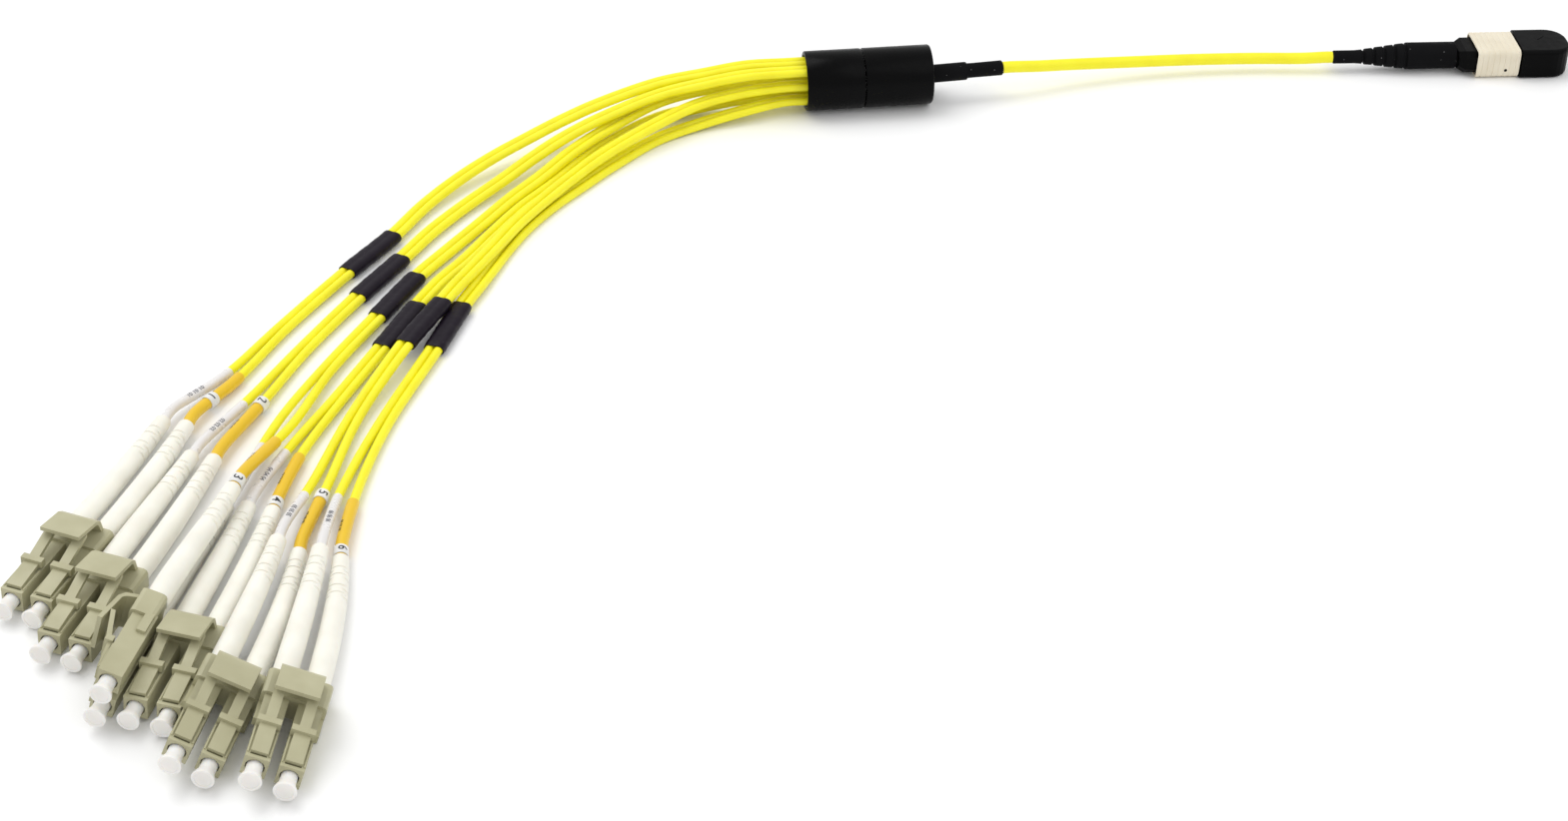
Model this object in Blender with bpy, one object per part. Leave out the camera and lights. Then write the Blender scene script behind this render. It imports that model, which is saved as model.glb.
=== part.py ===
"""Fibre optic breakout jumper.

A 12-fibre push-pull plug ends a round trunk cable. The trunk runs to a breakout tube, where
twelve thin legs leave in six pairs. Each pair is held by a black band and ends in a duplex plug,
whose two plugs share one clip and one trigger, and carry a bend boot and a dust cap each.
"""

import math
from dataclasses import dataclass

import bmesh
import bpy
from mathutils import Matrix, Vector

# Every size and place below is in millimetres, and MM turns it into Blender's metres
MM = 0.001

# Clearances between pieces
TOUCH_GAP = 0.3
SLIDING_GAP = 0.3
BAND_GAP = 0.15

# Cables
TRUNK_DIAMETER = 3.0
LEG_DIAMETER = 1.8
LEG_SPACING = 0.26
LEG_PITCH = LEG_DIAMETER + LEG_SPACING
PAIR_END_PITCH = 2.7
POINTS_PER_DIAMETER = 0.36

# One plug of a duplex pair, measured back from its nose and up from its underside
PLUG_WIDTH = 4.5
PLUG_HEIGHT = 4.5
PLUG_PITCH = 6.25
PLUG_LENGTH = 16.2
CAVITY_DIAMETER = 3.6
CAVITY_DEPTH = 4.0
FERRULE_DIAMETER = 1.25
FERRULE_REACH = 1.6

# Spring latch moulded on each plug
LATCH_GAP = 0.45
SLAB_WIDTH = 3.1
SLAB_START = 1.1
SLAB_JOINED = 4.9
SLAB_LENGTH = 6.4
SLAB_FRONT_RISE = 0.6
SLAB_BACK_RISE = 1.3
LUG_WIDTH = 4.4
LUG_LENGTH = 1.4
LUG_RISE = 1.95
ARM_WIDTH = 2.0
ARM_THICKNESS = 0.9
ARM_LENGTH = 7.3
ARM_END_RISE = 4.05

# Clip that joins the two plugs, and its trigger
CLIP_WIDTH = 12.2
CLIP_LENGTH = 6.3
CLIP_UNDERSIDE = 0.2
CLIP_TOP = 5.2
CLIP_CORNER = 0.9
RAIL_LENGTH = 4.4
RAIL_THICKNESS = 0.85
RAIL_UNDERSIDE = 0.5
RAIL_TOP = 2.2
TRIGGER_THICKNESS = 0.85
TRIGGER_ROOT = 0.3
TRIGGER_INSET = 0.2
TRIGGER_RISER_LEAN = 0.9
TRIGGER_RISER_RISE = 2.6
TRIGGER_BEND_LENGTH = 1.4
TRIGGER_BEND_RISE = 0.95
TRIGGER_PLATE_LENGTH = 6.8
TRIGGER_PLATE_RISE = 1.2

# Bend boots
BOOT_LENGTH = 39.5
BOOT_FRONT_DIAMETER = 4.7
BOOT_TAIL_DIAMETER = 3.4
BOOT_STATIONS = 7
BOOT_SIDES = 12
BOOT_LEAD = 5.0

# Dust caps of the duplex plugs
CAP_STEM_DIAMETER = CAVITY_DIAMETER - 2 * SLIDING_GAP
CAP_STEM_OUT = 2.0
CAP_RIM_DIAMETER = 4.3
CAP_RIM_OUT = 3.8
CAP_SIDES = 12

# Bands around the pairs
BAND_LENGTH = 18.2
BAND_WALL = 0.25
BAND_SIDES = 12
BAND_STATIONS = 5

# Breakout tube, a body and a screwed cap
BREAKOUT_DIAMETER = 15.0
BREAKOUT_BODY_LENGTH = 14.5
BREAKOUT_CAP_LENGTH = 17.2
BREAKOUT_EDGE = 0.5
BREAKOUT_RIM = 0.9
BREAKOUT_RECESS = 1.2
BREAKOUT_SIDES = 32
BREAKOUT_FACE = (-22.8, 105.7)
BREAKOUT_HEADING = 6.9

# Stepped strain relief between the breakout tube and the trunk
RELIEF_FRONT_DIAMETER = 4.6
RELIEF_FRONT_LENGTH = 9.0
RELIEF_TAIL_DIAMETER = 3.8
RELIEF_TAIL_LENGTH = 9.2
RELIEF_HEADING = 10.5
RELIEF_SIDES = 16

# 12-fibre plug, measured back from the front face of its coupling sleeve
MPO_FACE = (161.5, 127.5)
MPO_HEADING = 2.2
MPO_CAP_WIDTH = 13.2
MPO_CAP_HEIGHT = 7.8
MPO_CAP_LENGTH = 13.0
MPO_CAP_POCKET = 7.2
MPO_CAP_CORNER = 1.0
MPO_CAP_END = 5.0
MPO_CAP_TIP_SHARE = 0.3
MPO_CAP_BROW = 0.6
MPO_CAP_STATIONS = 7
MPO_SLEEVE_WIDTH = 12.4
MPO_SLEEVE_HEIGHT = 7.6
MPO_SLEEVE_LENGTH = 11.1
MPO_SLEEVE_CORNER = 1.4
MPO_SLEEVE_WALL = 0.5
MPO_COLLAR_LENGTH = 4.3
MPO_COLLAR_FLARE = 1.6
MPO_COLLAR_INSET = 1.1
MPO_HOUSING_CORNER = 1.5
MPO_NOSE_WIDTH = 9.4
MPO_NOSE_HEIGHT = 4.9
MPO_NOSE_OUT = 4.6
MPO_FERRULE_WIDTH = 6.4
MPO_FERRULE_HEIGHT = 2.5
MPO_FERRULE_OUT = 6.6
MPO_FERRULE_DEPTH = 5.0
MPO_BARREL_DIAMETER = 6.9
MPO_BARREL_LENGTH = 12.6
MPO_TAPER_LENGTH = 13.4
MPO_TAPER_STEPS = 5
MPO_TAPER_NOTCH = 0.3
MPO_TAIL_DIAMETER = 3.4
MPO_TAIL_LENGTH = 5.6
MPO_BOOT_SIDES = 20

# The middle of the plugs' and the tube's outline on the floor, where the frame's origin stands
ORIGIN = (-1.63, -7.00)

# Where each pair of legs leaves the breakout tube: sideways from its axis and up from it
SLOTS = {1: (2.3, 4.0), 2: (-2.3, 4.0), 3: (2.3, 0.0), 4: (2.3, -4.0), 5: (-2.3, 0.0), 6: (-2.3, -4.0)}
SLOT_LEAD = 5.0

# Middle line of each pair of legs, from the breakout tube to the boots
PAIR_ROUTES = {
    1: (
        (-37.5, 106.4, 11.4), (-48.5, 103.6, 10.6), (-59.5, 101.1, 9.4), (-74.0, 93.5, 7.6),
        (-82.5, 87.8, 6.2), (-91.0, 80.8, 4.8), (-98.7, 73.8, 3.6), (-106.0, 65.2, 2.6),
        (-113.0, 54.2, 1.8), (-119.3, 40.1, 1.5), (-127.8, 24.1, 1.5), (-138.4, 2.3, 1.3),
        (-147.0, -18.7, 1.6),
    ),
    2: (
        (-37.5, 101.7, 11.2), (-48.4, 99.1, 10.2), (-59.3, 96.3, 8.6), (-73.5, 87.9, 6.4),
        (-82.0, 81.2, 4.8), (-89.0, 73.8, 3.4), (-95.7, 64.8, 2.4), (-103.6, 54.1, 1.6),
        (-110.3, 42.5, 1.5), (-115.8, 30.4, 1.5), (-123.7, 14.1, 1.5), (-132.7, -6.5, 1.3),
        (-139.8, -26.6, 1.6),
    ),
    3: (
        (-37.5, 105.2, 7.2), (-48.6, 103.0, 6.4), (-59.5, 98.9, 5.2), (-71.9, 87.1, 3.9),
        (-79.6, 77.7, 3.0), (-86.4, 66.9, 2.2), (-93.0, 57.4, 1.5), (-99.8, 45.1, 1.2),
        (-106.1, 33.2, 1.3), (-111.3, 22.8, 1.5), (-118.2, 6.1, 1.5), (-126.4, -15.4, 1.8),
        (-132.1, -36.5, 2.6),
    ),
    4: (
        (-37.5, 104.6, 3.2), (-48.6, 102.4, 2.0), (-59.6, 98.1, 1.1), (-71.2, 85.6, 1.0),
        (-77.0, 76.7, 1.0), (-84.0, 63.9, 1.0), (-90.2, 53.8, 1.0), (-96.0, 41.9, 1.0),
        (-101.2, 29.9, 1.2), (-105.9, 20.5, 1.5), (-109.0, 13.0, 1.5), (-115.1, -4.5, 1.5),
        (-122.9, -26.7, 1.3), (-128.9, -45.4, 1.6),
    ),
    5: (
        (-37.5, 100.5, 7.2), (-48.4, 96.6, 6.2), (-59.1, 88.1, 5.2), (-72.3, 73.7, 4.0),
        (-79.7, 62.9, 3.4), (-85.6, 52.9, 3.1), (-90.3, 43.7, 3.1), (-94.4, 33.7, 3.1),
        (-97.9, 24.8, 3.3), (-101.9, 14.7, 3.6), (-104.5, 7.4, 3.7), (-110.3, -8.1, 3.6),
        (-118.2, -33.2, 1.8), (-122.1, -56.8, 1.7),
    ),
    6: (
        (-37.5, 98.8, 3.0), (-48.4, 94.6, 1.6), (-59.2, 87.6, 1.0), (-69.8, 74.7, 1.0),
        (-76.3, 65.4, 1.0), (-83.3, 55.0, 1.0), (-88.4, 45.5, 1.0), (-92.1, 36.1, 1.0),
        (-94.9, 26.9, 1.2), (-97.4, 18.4, 1.5), (-99.8, 11.0, 1.5), (-104.4, -7.3, 1.5),
        (-111.9, -35.2, 1.3), (-115.8, -58.8, 1.7),
    ),
}

# How far along its pair's route each band starts, from the breakout tube
BAND_STARTS = {1: 126.0, 2: 128.0, 3: 132.0, 4: 141.0, 5: 134.0, 6: 130.0}

# Middle line of the trunk, from the strain relief to the boot of the 12-fibre plug, and the
# straight lead at each end
TRUNK_LEAD = 2.0
TRUNK_ROUTE = (
    (37.0, 115.7, 6.5), (45.2, 118.3, 5.6), (61.1, 122.0, 4.4), (76.8, 124.4, 3.8),
    (92.5, 125.5, 3.6), (106.5, 125.4, 3.7),
)


@dataclass(frozen=True)
class Duplex:
    """Where one duplex plug lies, and how its boots bend."""

    number: int
    nose: tuple
    heading: float
    roll: float
    boot_turn: float
    boot_meet: float
    boot_ends: tuple


# Noses' middle on the floor, the way the cables leave, the roll, the boots' bend, how much each boot
# of the pair turns towards the other, and the heights of the boots' ends
DUPLEXES = (
    Duplex(1, (-172.2, -96.3), 72.8, 5.0, 5.0, 1.2, (2.4, 2.4)),
    Duplex(2, (-162.2, -109.0), 75.4, 6.0, 2.7, 1.8, (2.4, 2.4)),
    Duplex(3, (-148.2, -126.5), 79.5, -71.0, -1.0, 0.0, (2.2, 7.0)),
    Duplex(4, (-142.4, -127.1), 79.9, 7.0, 4.2, 1.6, (2.4, 2.0)),
    Duplex(5, (-132.9, -140.9), 81.2, 24.0, 7.0, 2.6, (4.6, 1.9)),
    Duplex(6, (-118.4, -144.3), 86.8, 20.0, 6.0, 3.1, (4.7, 2.4)),
)

# Colours, as linear red, green and blue
YELLOW = (0.83, 0.68, 0.02)
BLACK = (0.012, 0.012, 0.014)
OLIVE = (0.35, 0.33, 0.21)
WHITE = (0.80, 0.79, 0.76)
CREAM = (0.72, 0.66, 0.53)


def clear_scene():
    """Remove every object of the open scene."""
    for item in list(bpy.data.objects):
        bpy.data.objects.remove(item, do_unlink=True)


def make_material(name, colour, roughness):
    """Return a plastic material of that colour and roughness."""
    material = bpy.data.materials.new(name)
    material.use_nodes = True
    shader = material.node_tree.nodes["Principled BSDF"]
    shader.inputs["Base Color"].default_value = (*colour, 1.0)
    shader.inputs["Roughness"].default_value = roughness
    shader.inputs["Metallic"].default_value = 0.0
    return material


def mesh_from(bm, name):
    """Turn a finished bmesh into a mesh with its faces pointing out."""
    bmesh.ops.recalc_face_normals(bm, faces=bm.faces)
    mesh = bpy.data.meshes.new(name)
    bm.to_mesh(mesh)
    bm.free()
    return mesh


def prism(name, outline, left, right):
    """Return an outline of (back, up) points carried sideways from left to right."""
    bm = bmesh.new()
    face = bm.faces.new([bm.verts.new(Vector((left, back, up)) * MM) for back, up in outline])
    carried = bmesh.ops.extrude_face_region(bm, geom=[face])["geom"]
    moved = [item for item in carried if isinstance(item, bmesh.types.BMVert)]
    bmesh.ops.translate(bm, verts=moved, vec=Vector(((right - left) * MM, 0.0, 0.0)))
    return mesh_from(bm, name)


def box(name, left, right, front, back, low, high):
    """Return a rectangular block."""
    outline = ((front, low), (back, low), (back, high), (front, high))
    return prism(name, outline, left, right)


def loft(name, rings, closed=False):
    """Return the skin through rings of points, with end faces, or joined end to end."""
    bm = bmesh.new()
    loops = [[bm.verts.new(Vector(point) * MM) for point in ring] for ring in rings]
    spans = list(zip(loops, loops[1:]))
    if closed:
        spans.append((loops[-1], loops[0]))
    else:
        bm.faces.new(list(reversed(loops[0])))
        bm.faces.new(loops[-1])
    for near, far in spans:
        for index in range(len(near)):
            after = (index + 1) % len(near)
            bm.faces.new((near[index], near[after], far[after], far[index]))
    return mesh_from(bm, name)


def circle(radius, sides):
    """Return (across, up) points of a circle."""
    angles = [2 * math.pi * (index + 0.5) / sides for index in range(sides)]
    return [(radius * math.cos(angle), radius * math.sin(angle)) for angle in angles]


def stadium(half_straight, radius, sides):
    """Return (across, up) points of a flat oval with round ends."""
    points = []
    for across, up in circle(radius, sides):
        points.append((across + math.copysign(half_straight, across), up))
    return points


def rounded_box(width, height, corner, steps=1):
    """Return (across, up) points of a rectangle with its corners rounded by arcs."""
    points = []
    centres = ((1, 1), (-1, 1), (-1, -1), (1, -1))
    for quarter, (side, end) in enumerate(centres):
        middle = Vector((side * (width / 2 - corner), end * (height / 2 - corner)))
        for step in range(steps + 1):
            angle = math.pi / 2 * (quarter + step / steps)
            points.append(tuple(middle + corner * Vector((math.cos(angle), math.sin(angle)))))
    return points


def ring_at(section, centre, across, up):
    """Place a section's points at a centre, along its across and up directions."""
    return [centre + across * side + up * rise for side, rise in section]


def turned(name, stations, sides):
    """Return a body turned about the back axis from (back, diameter) stations."""
    across = Vector((1.0, 0.0, 0.0))
    up = Vector((0.0, 0.0, 1.0))
    rings = []
    for back, diameter in stations:
        rings.append(ring_at(circle(diameter / 2, sides), Vector((0.0, back, 0.0)), across, up))
    return loft(name, rings)


def straight_loft(name, stations, closed=False):
    """Return a body through (back, section) stations along the back axis."""
    across = Vector((1.0, 0.0, 0.0))
    up = Vector((0.0, 0.0, 1.0))
    rings = [ring_at(section, Vector((0.0, back, 0.0)), across, up) for back, section in stations]
    return loft(name, rings, closed)


def combine(name, base, others, operation):
    """Return base joined with, or cut by, every other mesh."""
    scene = bpy.context.scene
    body = bpy.data.objects.new(name, base)
    scene.collection.objects.link(body)
    helpers = []
    for other in others:
        helper = bpy.data.objects.new(other.name, other)
        helper.hide_render = True
        helper.display_type = "WIRE"
        scene.collection.objects.link(helper)
        helpers.append(helper)
        modifier = body.modifiers.new(other.name, "BOOLEAN")
        modifier.operation = operation
        modifier.solver = "EXACT"
        modifier.object = helper
    depsgraph = bpy.context.evaluated_depsgraph_get()
    result = bpy.data.meshes.new_from_object(body.evaluated_get(depsgraph))
    result.name = name
    for item in (body, *helpers):
        bpy.data.objects.remove(item, do_unlink=True)
    return result


def moved(mesh, offset):
    """Return a copy of a mesh moved by an offset in millimetres."""
    copy = mesh.copy()
    copy.transform(Matrix.Translation(Vector(offset) * MM))
    return copy


def frame_at(place, heading, roll=0.0):
    """Return the matrix that puts a piece at a place with its back axis along the heading."""
    shift = Matrix.Translation((Vector(place) - Vector((*ORIGIN, 0.0))) * MM)
    turn = Matrix.Rotation(math.radians(heading - 90.0), 4, "Z")
    return shift @ turn @ Matrix.Rotation(math.radians(roll), 4, "Y")


def add_piece(name, mesh, material, matrix=None, smooth=True):
    """Add one named piece of the part to the scene."""
    piece = bpy.data.objects.new(name, mesh)
    if not mesh.materials:
        mesh.materials.append(material)
    if smooth:
        mesh.shade_smooth()
        mesh.set_sharp_from_angle(angle=math.radians(35.0))
    if matrix is not None:
        piece.matrix_world = matrix
    bpy.context.scene.collection.objects.link(piece)
    return piece


def smooth_line(points, spacing):
    """Return evenly spaced points on a smooth curve through the route's own points."""
    route = [Vector(point) for point in points]
    route = [2 * route[0] - route[1], *route, 2 * route[-1] - route[-2]]
    dense = []
    for start in range(len(route) - 3):
        dense.extend(smooth_span(route[start:start + 4]))
    dense.append(route[-2])
    return spread_evenly(dense, spacing)


def smooth_span(knots, steps=24):
    """Return points between the two middle knots of a centripetal Catmull-Rom curve."""
    times = [0.0]
    for before, after in zip(knots, knots[1:]):
        times.append(times[-1] + max((after - before).length, 1e-6) ** 0.5)
    points = []
    for step in range(steps):
        time = times[1] + (times[2] - times[1]) * step / steps
        points.append(blend(knots, times, time))
    return points


def blend(knots, times, time):
    """Return the curve's point at a time by repeated linear blends of the knots."""
    level = list(knots)
    for reach in (1, 2, 3):
        level = [mix_knots(level, times, time, reach, index) for index in range(len(level) - 1)]
        if reach == 2:
            break
    part = (time - times[1]) / (times[2] - times[1])
    return level[0].lerp(level[1], part)


def mix_knots(level, times, time, reach, index):
    """Blend two neighbouring points over the stretch of time that they share."""
    start = times[index]
    end = times[index + reach]
    return level[index].lerp(level[index + 1], (time - start) / (end - start))


def spread_evenly(points, spacing):
    """Return points of a line at equal distances of about the spacing."""
    reached = [0.0]
    for before, after in zip(points, points[1:]):
        reached.append(reached[-1] + (after - before).length)
    count = max(2, round(reached[-1] / spacing))
    return [point_along(points, reached, reached[-1] * step / count) for step in range(count + 1)]


def point_along(points, reached, distance):
    """Return the point of a line at a distance from its start."""
    for index in range(1, len(points)):
        if reached[index] >= distance:
            stretch = reached[index] - reached[index - 1]
            part = (distance - reached[index - 1]) / max(stretch, 1e-9)
            return points[index - 1].lerp(points[index], part)
    return points[-1].copy()


def add_cable(name, points, diameter, material):
    """Add a cable as a round tube with filled ends along a line of points."""
    curve = bpy.data.curves.new(name, "CURVE")
    curve.dimensions = "3D"
    curve.bevel_depth = diameter / 2 * MM
    curve.bevel_resolution = 2
    curve.use_fill_caps = True
    line = smooth_line(points, diameter / POINTS_PER_DIAMETER)
    spline = curve.splines.new("POLY")
    spline.points.add(len(line) - 1)
    for knot, place in zip(spline.points, line):
        knot.co = (*((place - Vector((*ORIGIN, 0.0))) * MM), 1.0)
    curve.materials.append(material)
    cable = bpy.data.objects.new(name, curve)
    bpy.context.scene.collection.objects.link(cable)
    return cable


def direction(heading):
    """Return the level direction at a heading in degrees from +X."""
    return Vector((math.cos(math.radians(heading)), math.sin(math.radians(heading)), 0.0))


def sideways(along):
    """Return the level direction to the right of a direction."""
    return Vector((along.y, -along.x, 0.0)).normalized()


def plug_lift(duplex):
    """Return how far a rolled duplex plug rises to stand on its lowest edge."""
    sine = abs(math.sin(math.radians(duplex.roll)))
    cosine = math.cos(math.radians(duplex.roll))
    corner = CLIP_CORNER
    clip_edge = (CLIP_WIDTH / 2 - corner) * sine - (CLIP_UNDERSIDE + corner) * cosine + corner
    rail_edge = CLIP_WIDTH / 2 * sine - RAIL_UNDERSIDE * cosine
    plug_edge = (PLUG_PITCH + PLUG_WIDTH) / 2 * sine
    return max(clip_edge, rail_edge, plug_edge) if duplex.roll else 0.0


def duplex_frame(duplex):
    """Return the matrix of a duplex plug: noses at its origin, cables along its back axis."""
    return frame_at((*duplex.nose, plug_lift(duplex)), duplex.heading, duplex.roll)


def plug_centre(side):
    """Return one plug's axis in the duplex plug's own frame, at its nose."""
    return Vector((side * PLUG_PITCH / 2, 0.0, PLUG_HEIGHT / 2))


def plug_block():
    """Return one plug's square body with the cavity around its ferrule."""
    body = box("plug", -PLUG_WIDTH / 2, PLUG_WIDTH / 2, 0.0, PLUG_LENGTH + 1.0, 0.0, PLUG_HEIGHT)
    cavity = turned("cavity", ((-1.0, CAVITY_DIAMETER), (CAVITY_DEPTH, CAVITY_DIAMETER)), CAP_SIDES)
    cut = combine("plug", body, [moved(cavity, (0.0, 0.0, PLUG_HEIGHT / 2))], "DIFFERENCE")
    ends = ((-FERRULE_REACH, FERRULE_DIAMETER), (CAVITY_DEPTH + 1.0, FERRULE_DIAMETER))
    ferrule = moved(turned("ferrule", ends, 8), (0.0, 0.0, PLUG_HEIGHT / 2))
    return combine("plug", cut, [ferrule, *latch_pieces()], "UNION")


def latch_pieces():
    """Return the slab, the lug and the arm of one plug's spring latch."""
    root = PLUG_HEIGHT - 0.2
    gap = PLUG_HEIGHT + LATCH_GAP
    slab_end = SLAB_START + SLAB_LENGTH
    lug_end = slab_end + LUG_LENGTH
    slab = (
        (SLAB_START, root),
        (SLAB_START + SLAB_JOINED, root),
        (SLAB_START + SLAB_JOINED, gap),
        (slab_end + 0.3, gap),
        (slab_end + 0.3, PLUG_HEIGHT + SLAB_BACK_RISE),
        (SLAB_START, PLUG_HEIGHT + SLAB_FRONT_RISE),
    )
    arm_top = PLUG_HEIGHT + LUG_RISE - 0.1
    arm_end = lug_end + ARM_LENGTH
    arm = (
        (lug_end - 0.4, arm_top - ARM_THICKNESS),
        (arm_end, PLUG_HEIGHT + ARM_END_RISE - ARM_THICKNESS),
        (arm_end, PLUG_HEIGHT + ARM_END_RISE),
        (lug_end - 0.4, arm_top),
    )
    lug = ((slab_end, gap - 0.05), (lug_end, gap - 0.05), (lug_end, PLUG_HEIGHT + LUG_RISE),
           (slab_end, PLUG_HEIGHT + LUG_RISE))
    return [
        prism("slab", slab, -SLAB_WIDTH / 2, SLAB_WIDTH / 2),
        prism("lug", lug, -LUG_WIDTH / 2, LUG_WIDTH / 2),
        prism("arm", arm, -ARM_WIDTH / 2, ARM_WIDTH / 2),
    ]


def trigger():
    """Return the bent trigger plate that presses both latch arms."""
    foot = PLUG_LENGTH + CLIP_LENGTH - TRIGGER_INSET
    riser = foot - TRIGGER_RISER_LEAN
    bend = riser - TRIGGER_BEND_LENGTH
    tip = bend - TRIGGER_PLATE_LENGTH
    riser_top = CLIP_TOP + TRIGGER_RISER_RISE
    bend_top = riser_top + TRIGGER_BEND_RISE
    tip_top = bend_top + TRIGGER_PLATE_RISE
    wall = TRIGGER_THICKNESS
    root = CLIP_TOP - TRIGGER_ROOT
    outline = (
        (foot, root),
        (riser, riser_top),
        (bend, bend_top),
        (tip, tip_top),
        (tip, tip_top - wall),
        (bend, bend_top - wall),
        (riser - 0.9 * wall, riser_top - 0.6 * wall),
        (foot - wall, root),
    )
    reach = (PLUG_PITCH + ARM_WIDTH) / 2
    return prism("trigger", outline, -reach, reach)


def clip_pieces():
    """Return the clip's block, its two side rails and its trigger."""
    half = CLIP_WIDTH / 2
    section = rounded_box(CLIP_WIDTH, CLIP_TOP - CLIP_UNDERSIDE, CLIP_CORNER, 2)
    block = straight_loft("clip", ((PLUG_LENGTH, section), (PLUG_LENGTH + CLIP_LENGTH, section)))
    block = moved(block, (0.0, 0.0, (CLIP_TOP + CLIP_UNDERSIDE) / 2))
    pieces = [block]
    front = PLUG_LENGTH - RAIL_LENGTH
    for side in (-1, 1):
        edges = sorted((side * half * 0.998, side * (half - RAIL_THICKNESS)))
        pieces.append(box("rail", *edges, front, PLUG_LENGTH + 0.5, RAIL_UNDERSIDE, RAIL_TOP))
    pieces.append(trigger())
    return pieces


def duplex_mesh():
    """Return both plugs, their latches, the clip and the trigger as one moulded body."""
    plug = plug_block()
    offset = PLUG_PITCH / 2
    left = moved(plug, (-offset, 0.0, 0.0))
    right = moved(plug, (offset, 0.0, 0.0))
    block, *others = clip_pieces()
    return combine("duplex_body", block, [left, right, *others], "UNION")


def cap_mesh():
    """Return a dust cap: a stem with a blind hole for the ferrule, and a flared rim."""
    stem = CAP_STEM_DIAMETER
    inner = CAVITY_DEPTH - SLIDING_GAP
    hole = FERRULE_DIAMETER + 2 * SLIDING_GAP
    stations = (
        (-(FERRULE_REACH + SLIDING_GAP), hole),
        (inner, hole),
        (inner, stem),
        (-CAP_STEM_OUT, stem),
        (-CAP_RIM_OUT, CAP_RIM_DIAMETER),
    )
    return turned("dust_cap", stations, CAP_SIDES)


def boot_line(duplex, side):
    """Return the middle line of one bend boot and the direction in which its cable leaves."""
    sine = math.sin(math.radians(duplex.roll))
    cosine = math.cos(math.radians(duplex.roll))
    centre = plug_centre(side)
    across = centre.x * cosine + centre.z * sine
    rise = centre.z * cosine - centre.x * sine + plug_lift(duplex)
    back = direction(duplex.heading)
    start = PLUG_LENGTH + CLIP_LENGTH + TOUCH_GAP
    place = Vector((*duplex.nose, 0.0)) + sideways(back) * across + back * start
    fall = duplex.boot_ends[0 if side < 0 else 1] - rise
    turn = duplex.boot_turn + side * duplex.boot_meet
    step = BOOT_LENGTH / (BOOT_STATIONS - 1)
    line = []
    for index in range(BOOT_STATIONS):
        part = index / (BOOT_STATIONS - 1)
        line.append(Vector((place.x, place.y, rise + fall * part * part * (3 - 2 * part))))
        place = place + direction(duplex.heading + turn * (part + 0.5 / BOOT_STATIONS)) * step
    return line, direction(duplex.heading + turn)


def swept_rings(line, sections):
    """Return each section placed across its point of a line."""
    up = Vector((0.0, 0.0, 1.0))
    rings = []
    for index, place in enumerate(line):
        along = line[min(index + 1, len(line) - 1)] - line[max(index - 1, 0)]
        across = sideways(along)
        level = Vector((along.x, along.y, 0.0)).length
        tilted = (up - along * (along.z / along.length_squared)).normalized() if level else up
        rings.append(ring_at(sections[index], place - Vector((*ORIGIN, 0.0)), across, tilted))
    return rings


def boot_mesh(name, line):
    """Return a bend boot that tapers from its plug to its cable, ever faster."""
    sections = []
    for index in range(len(line)):
        part = index / (len(line) - 1)
        diameter = BOOT_FRONT_DIAMETER + (BOOT_TAIL_DIAMETER - BOOT_FRONT_DIAMETER) * part * part
        sections.append(circle(diameter / 2, BOOT_SIDES))
    return loft(name, swept_rings(line, sections))


def slot_points(pair, side):
    """Return where one leg leaves the breakout tube, and the end of its straight start."""
    across, up = SLOTS[pair]
    along = direction(BREAKOUT_HEADING)
    shift = across + side * LEG_PITCH / 2
    recess = BREAKOUT_RECESS - TOUCH_GAP
    face = Vector((*BREAKOUT_FACE, BREAKOUT_DIAMETER / 2 + up)) - sideways(along) * shift
    return [face + along * recess, face - along * SLOT_LEAD]


def pair_line(pair):
    """Return a pair's middle line as close points from the breakout tube's face."""
    start = [(first + second) / 2 for first, second in zip(slot_points(pair, -1), slot_points(pair, 1))]
    return smooth_line([*start, *PAIR_ROUTES[pair]], 1.0)


def leg_points(duplex, side):
    """Return the route of one leg, from the breakout tube to its boot."""
    pair = duplex.number
    middle = pair_line(pair)
    points = slot_points(pair, -side)
    for place in PAIR_ROUTES[pair]:
        knot = Vector(place)
        index = min(range(len(middle)), key=lambda spot: (middle[spot] - knot).length)
        along = middle[max(index - 1, 0)] - middle[min(index + 1, len(middle) - 1)]
        pitch = PAIR_END_PITCH if place == PAIR_ROUTES[pair][-1] else LEG_PITCH
        points.append(knot + sideways(along) * (side * pitch / 2))
    line, leaving = boot_line(duplex, side)
    tail = line[-1] + leaving * TOUCH_GAP
    points.append(tail + leaving * BOOT_LEAD)
    points.append(tail)
    return points


def band_mesh(name, pair):
    """Return the band around one pair of legs, as an oval sleeve along the pair."""
    middle = pair_line(pair)
    start = int(round(BAND_STARTS[pair]))
    step = BAND_LENGTH / (BAND_STATIONS - 1)
    picks = [start + int(round(index * step)) for index in range(BAND_STATIONS)]
    line = [middle[pick] for pick in picks]
    bore = LEG_DIAMETER / 2 + BAND_GAP
    outer = stadium(LEG_PITCH / 2, bore + BAND_WALL, BAND_SIDES)
    inner = stadium(LEG_PITCH / 2, bore, BAND_SIDES)
    outside = swept_rings(line, [outer] * len(line))
    inside = swept_rings(line, [inner] * len(line))
    return loft(name, [*outside, *reversed(inside)], closed=True)


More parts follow.
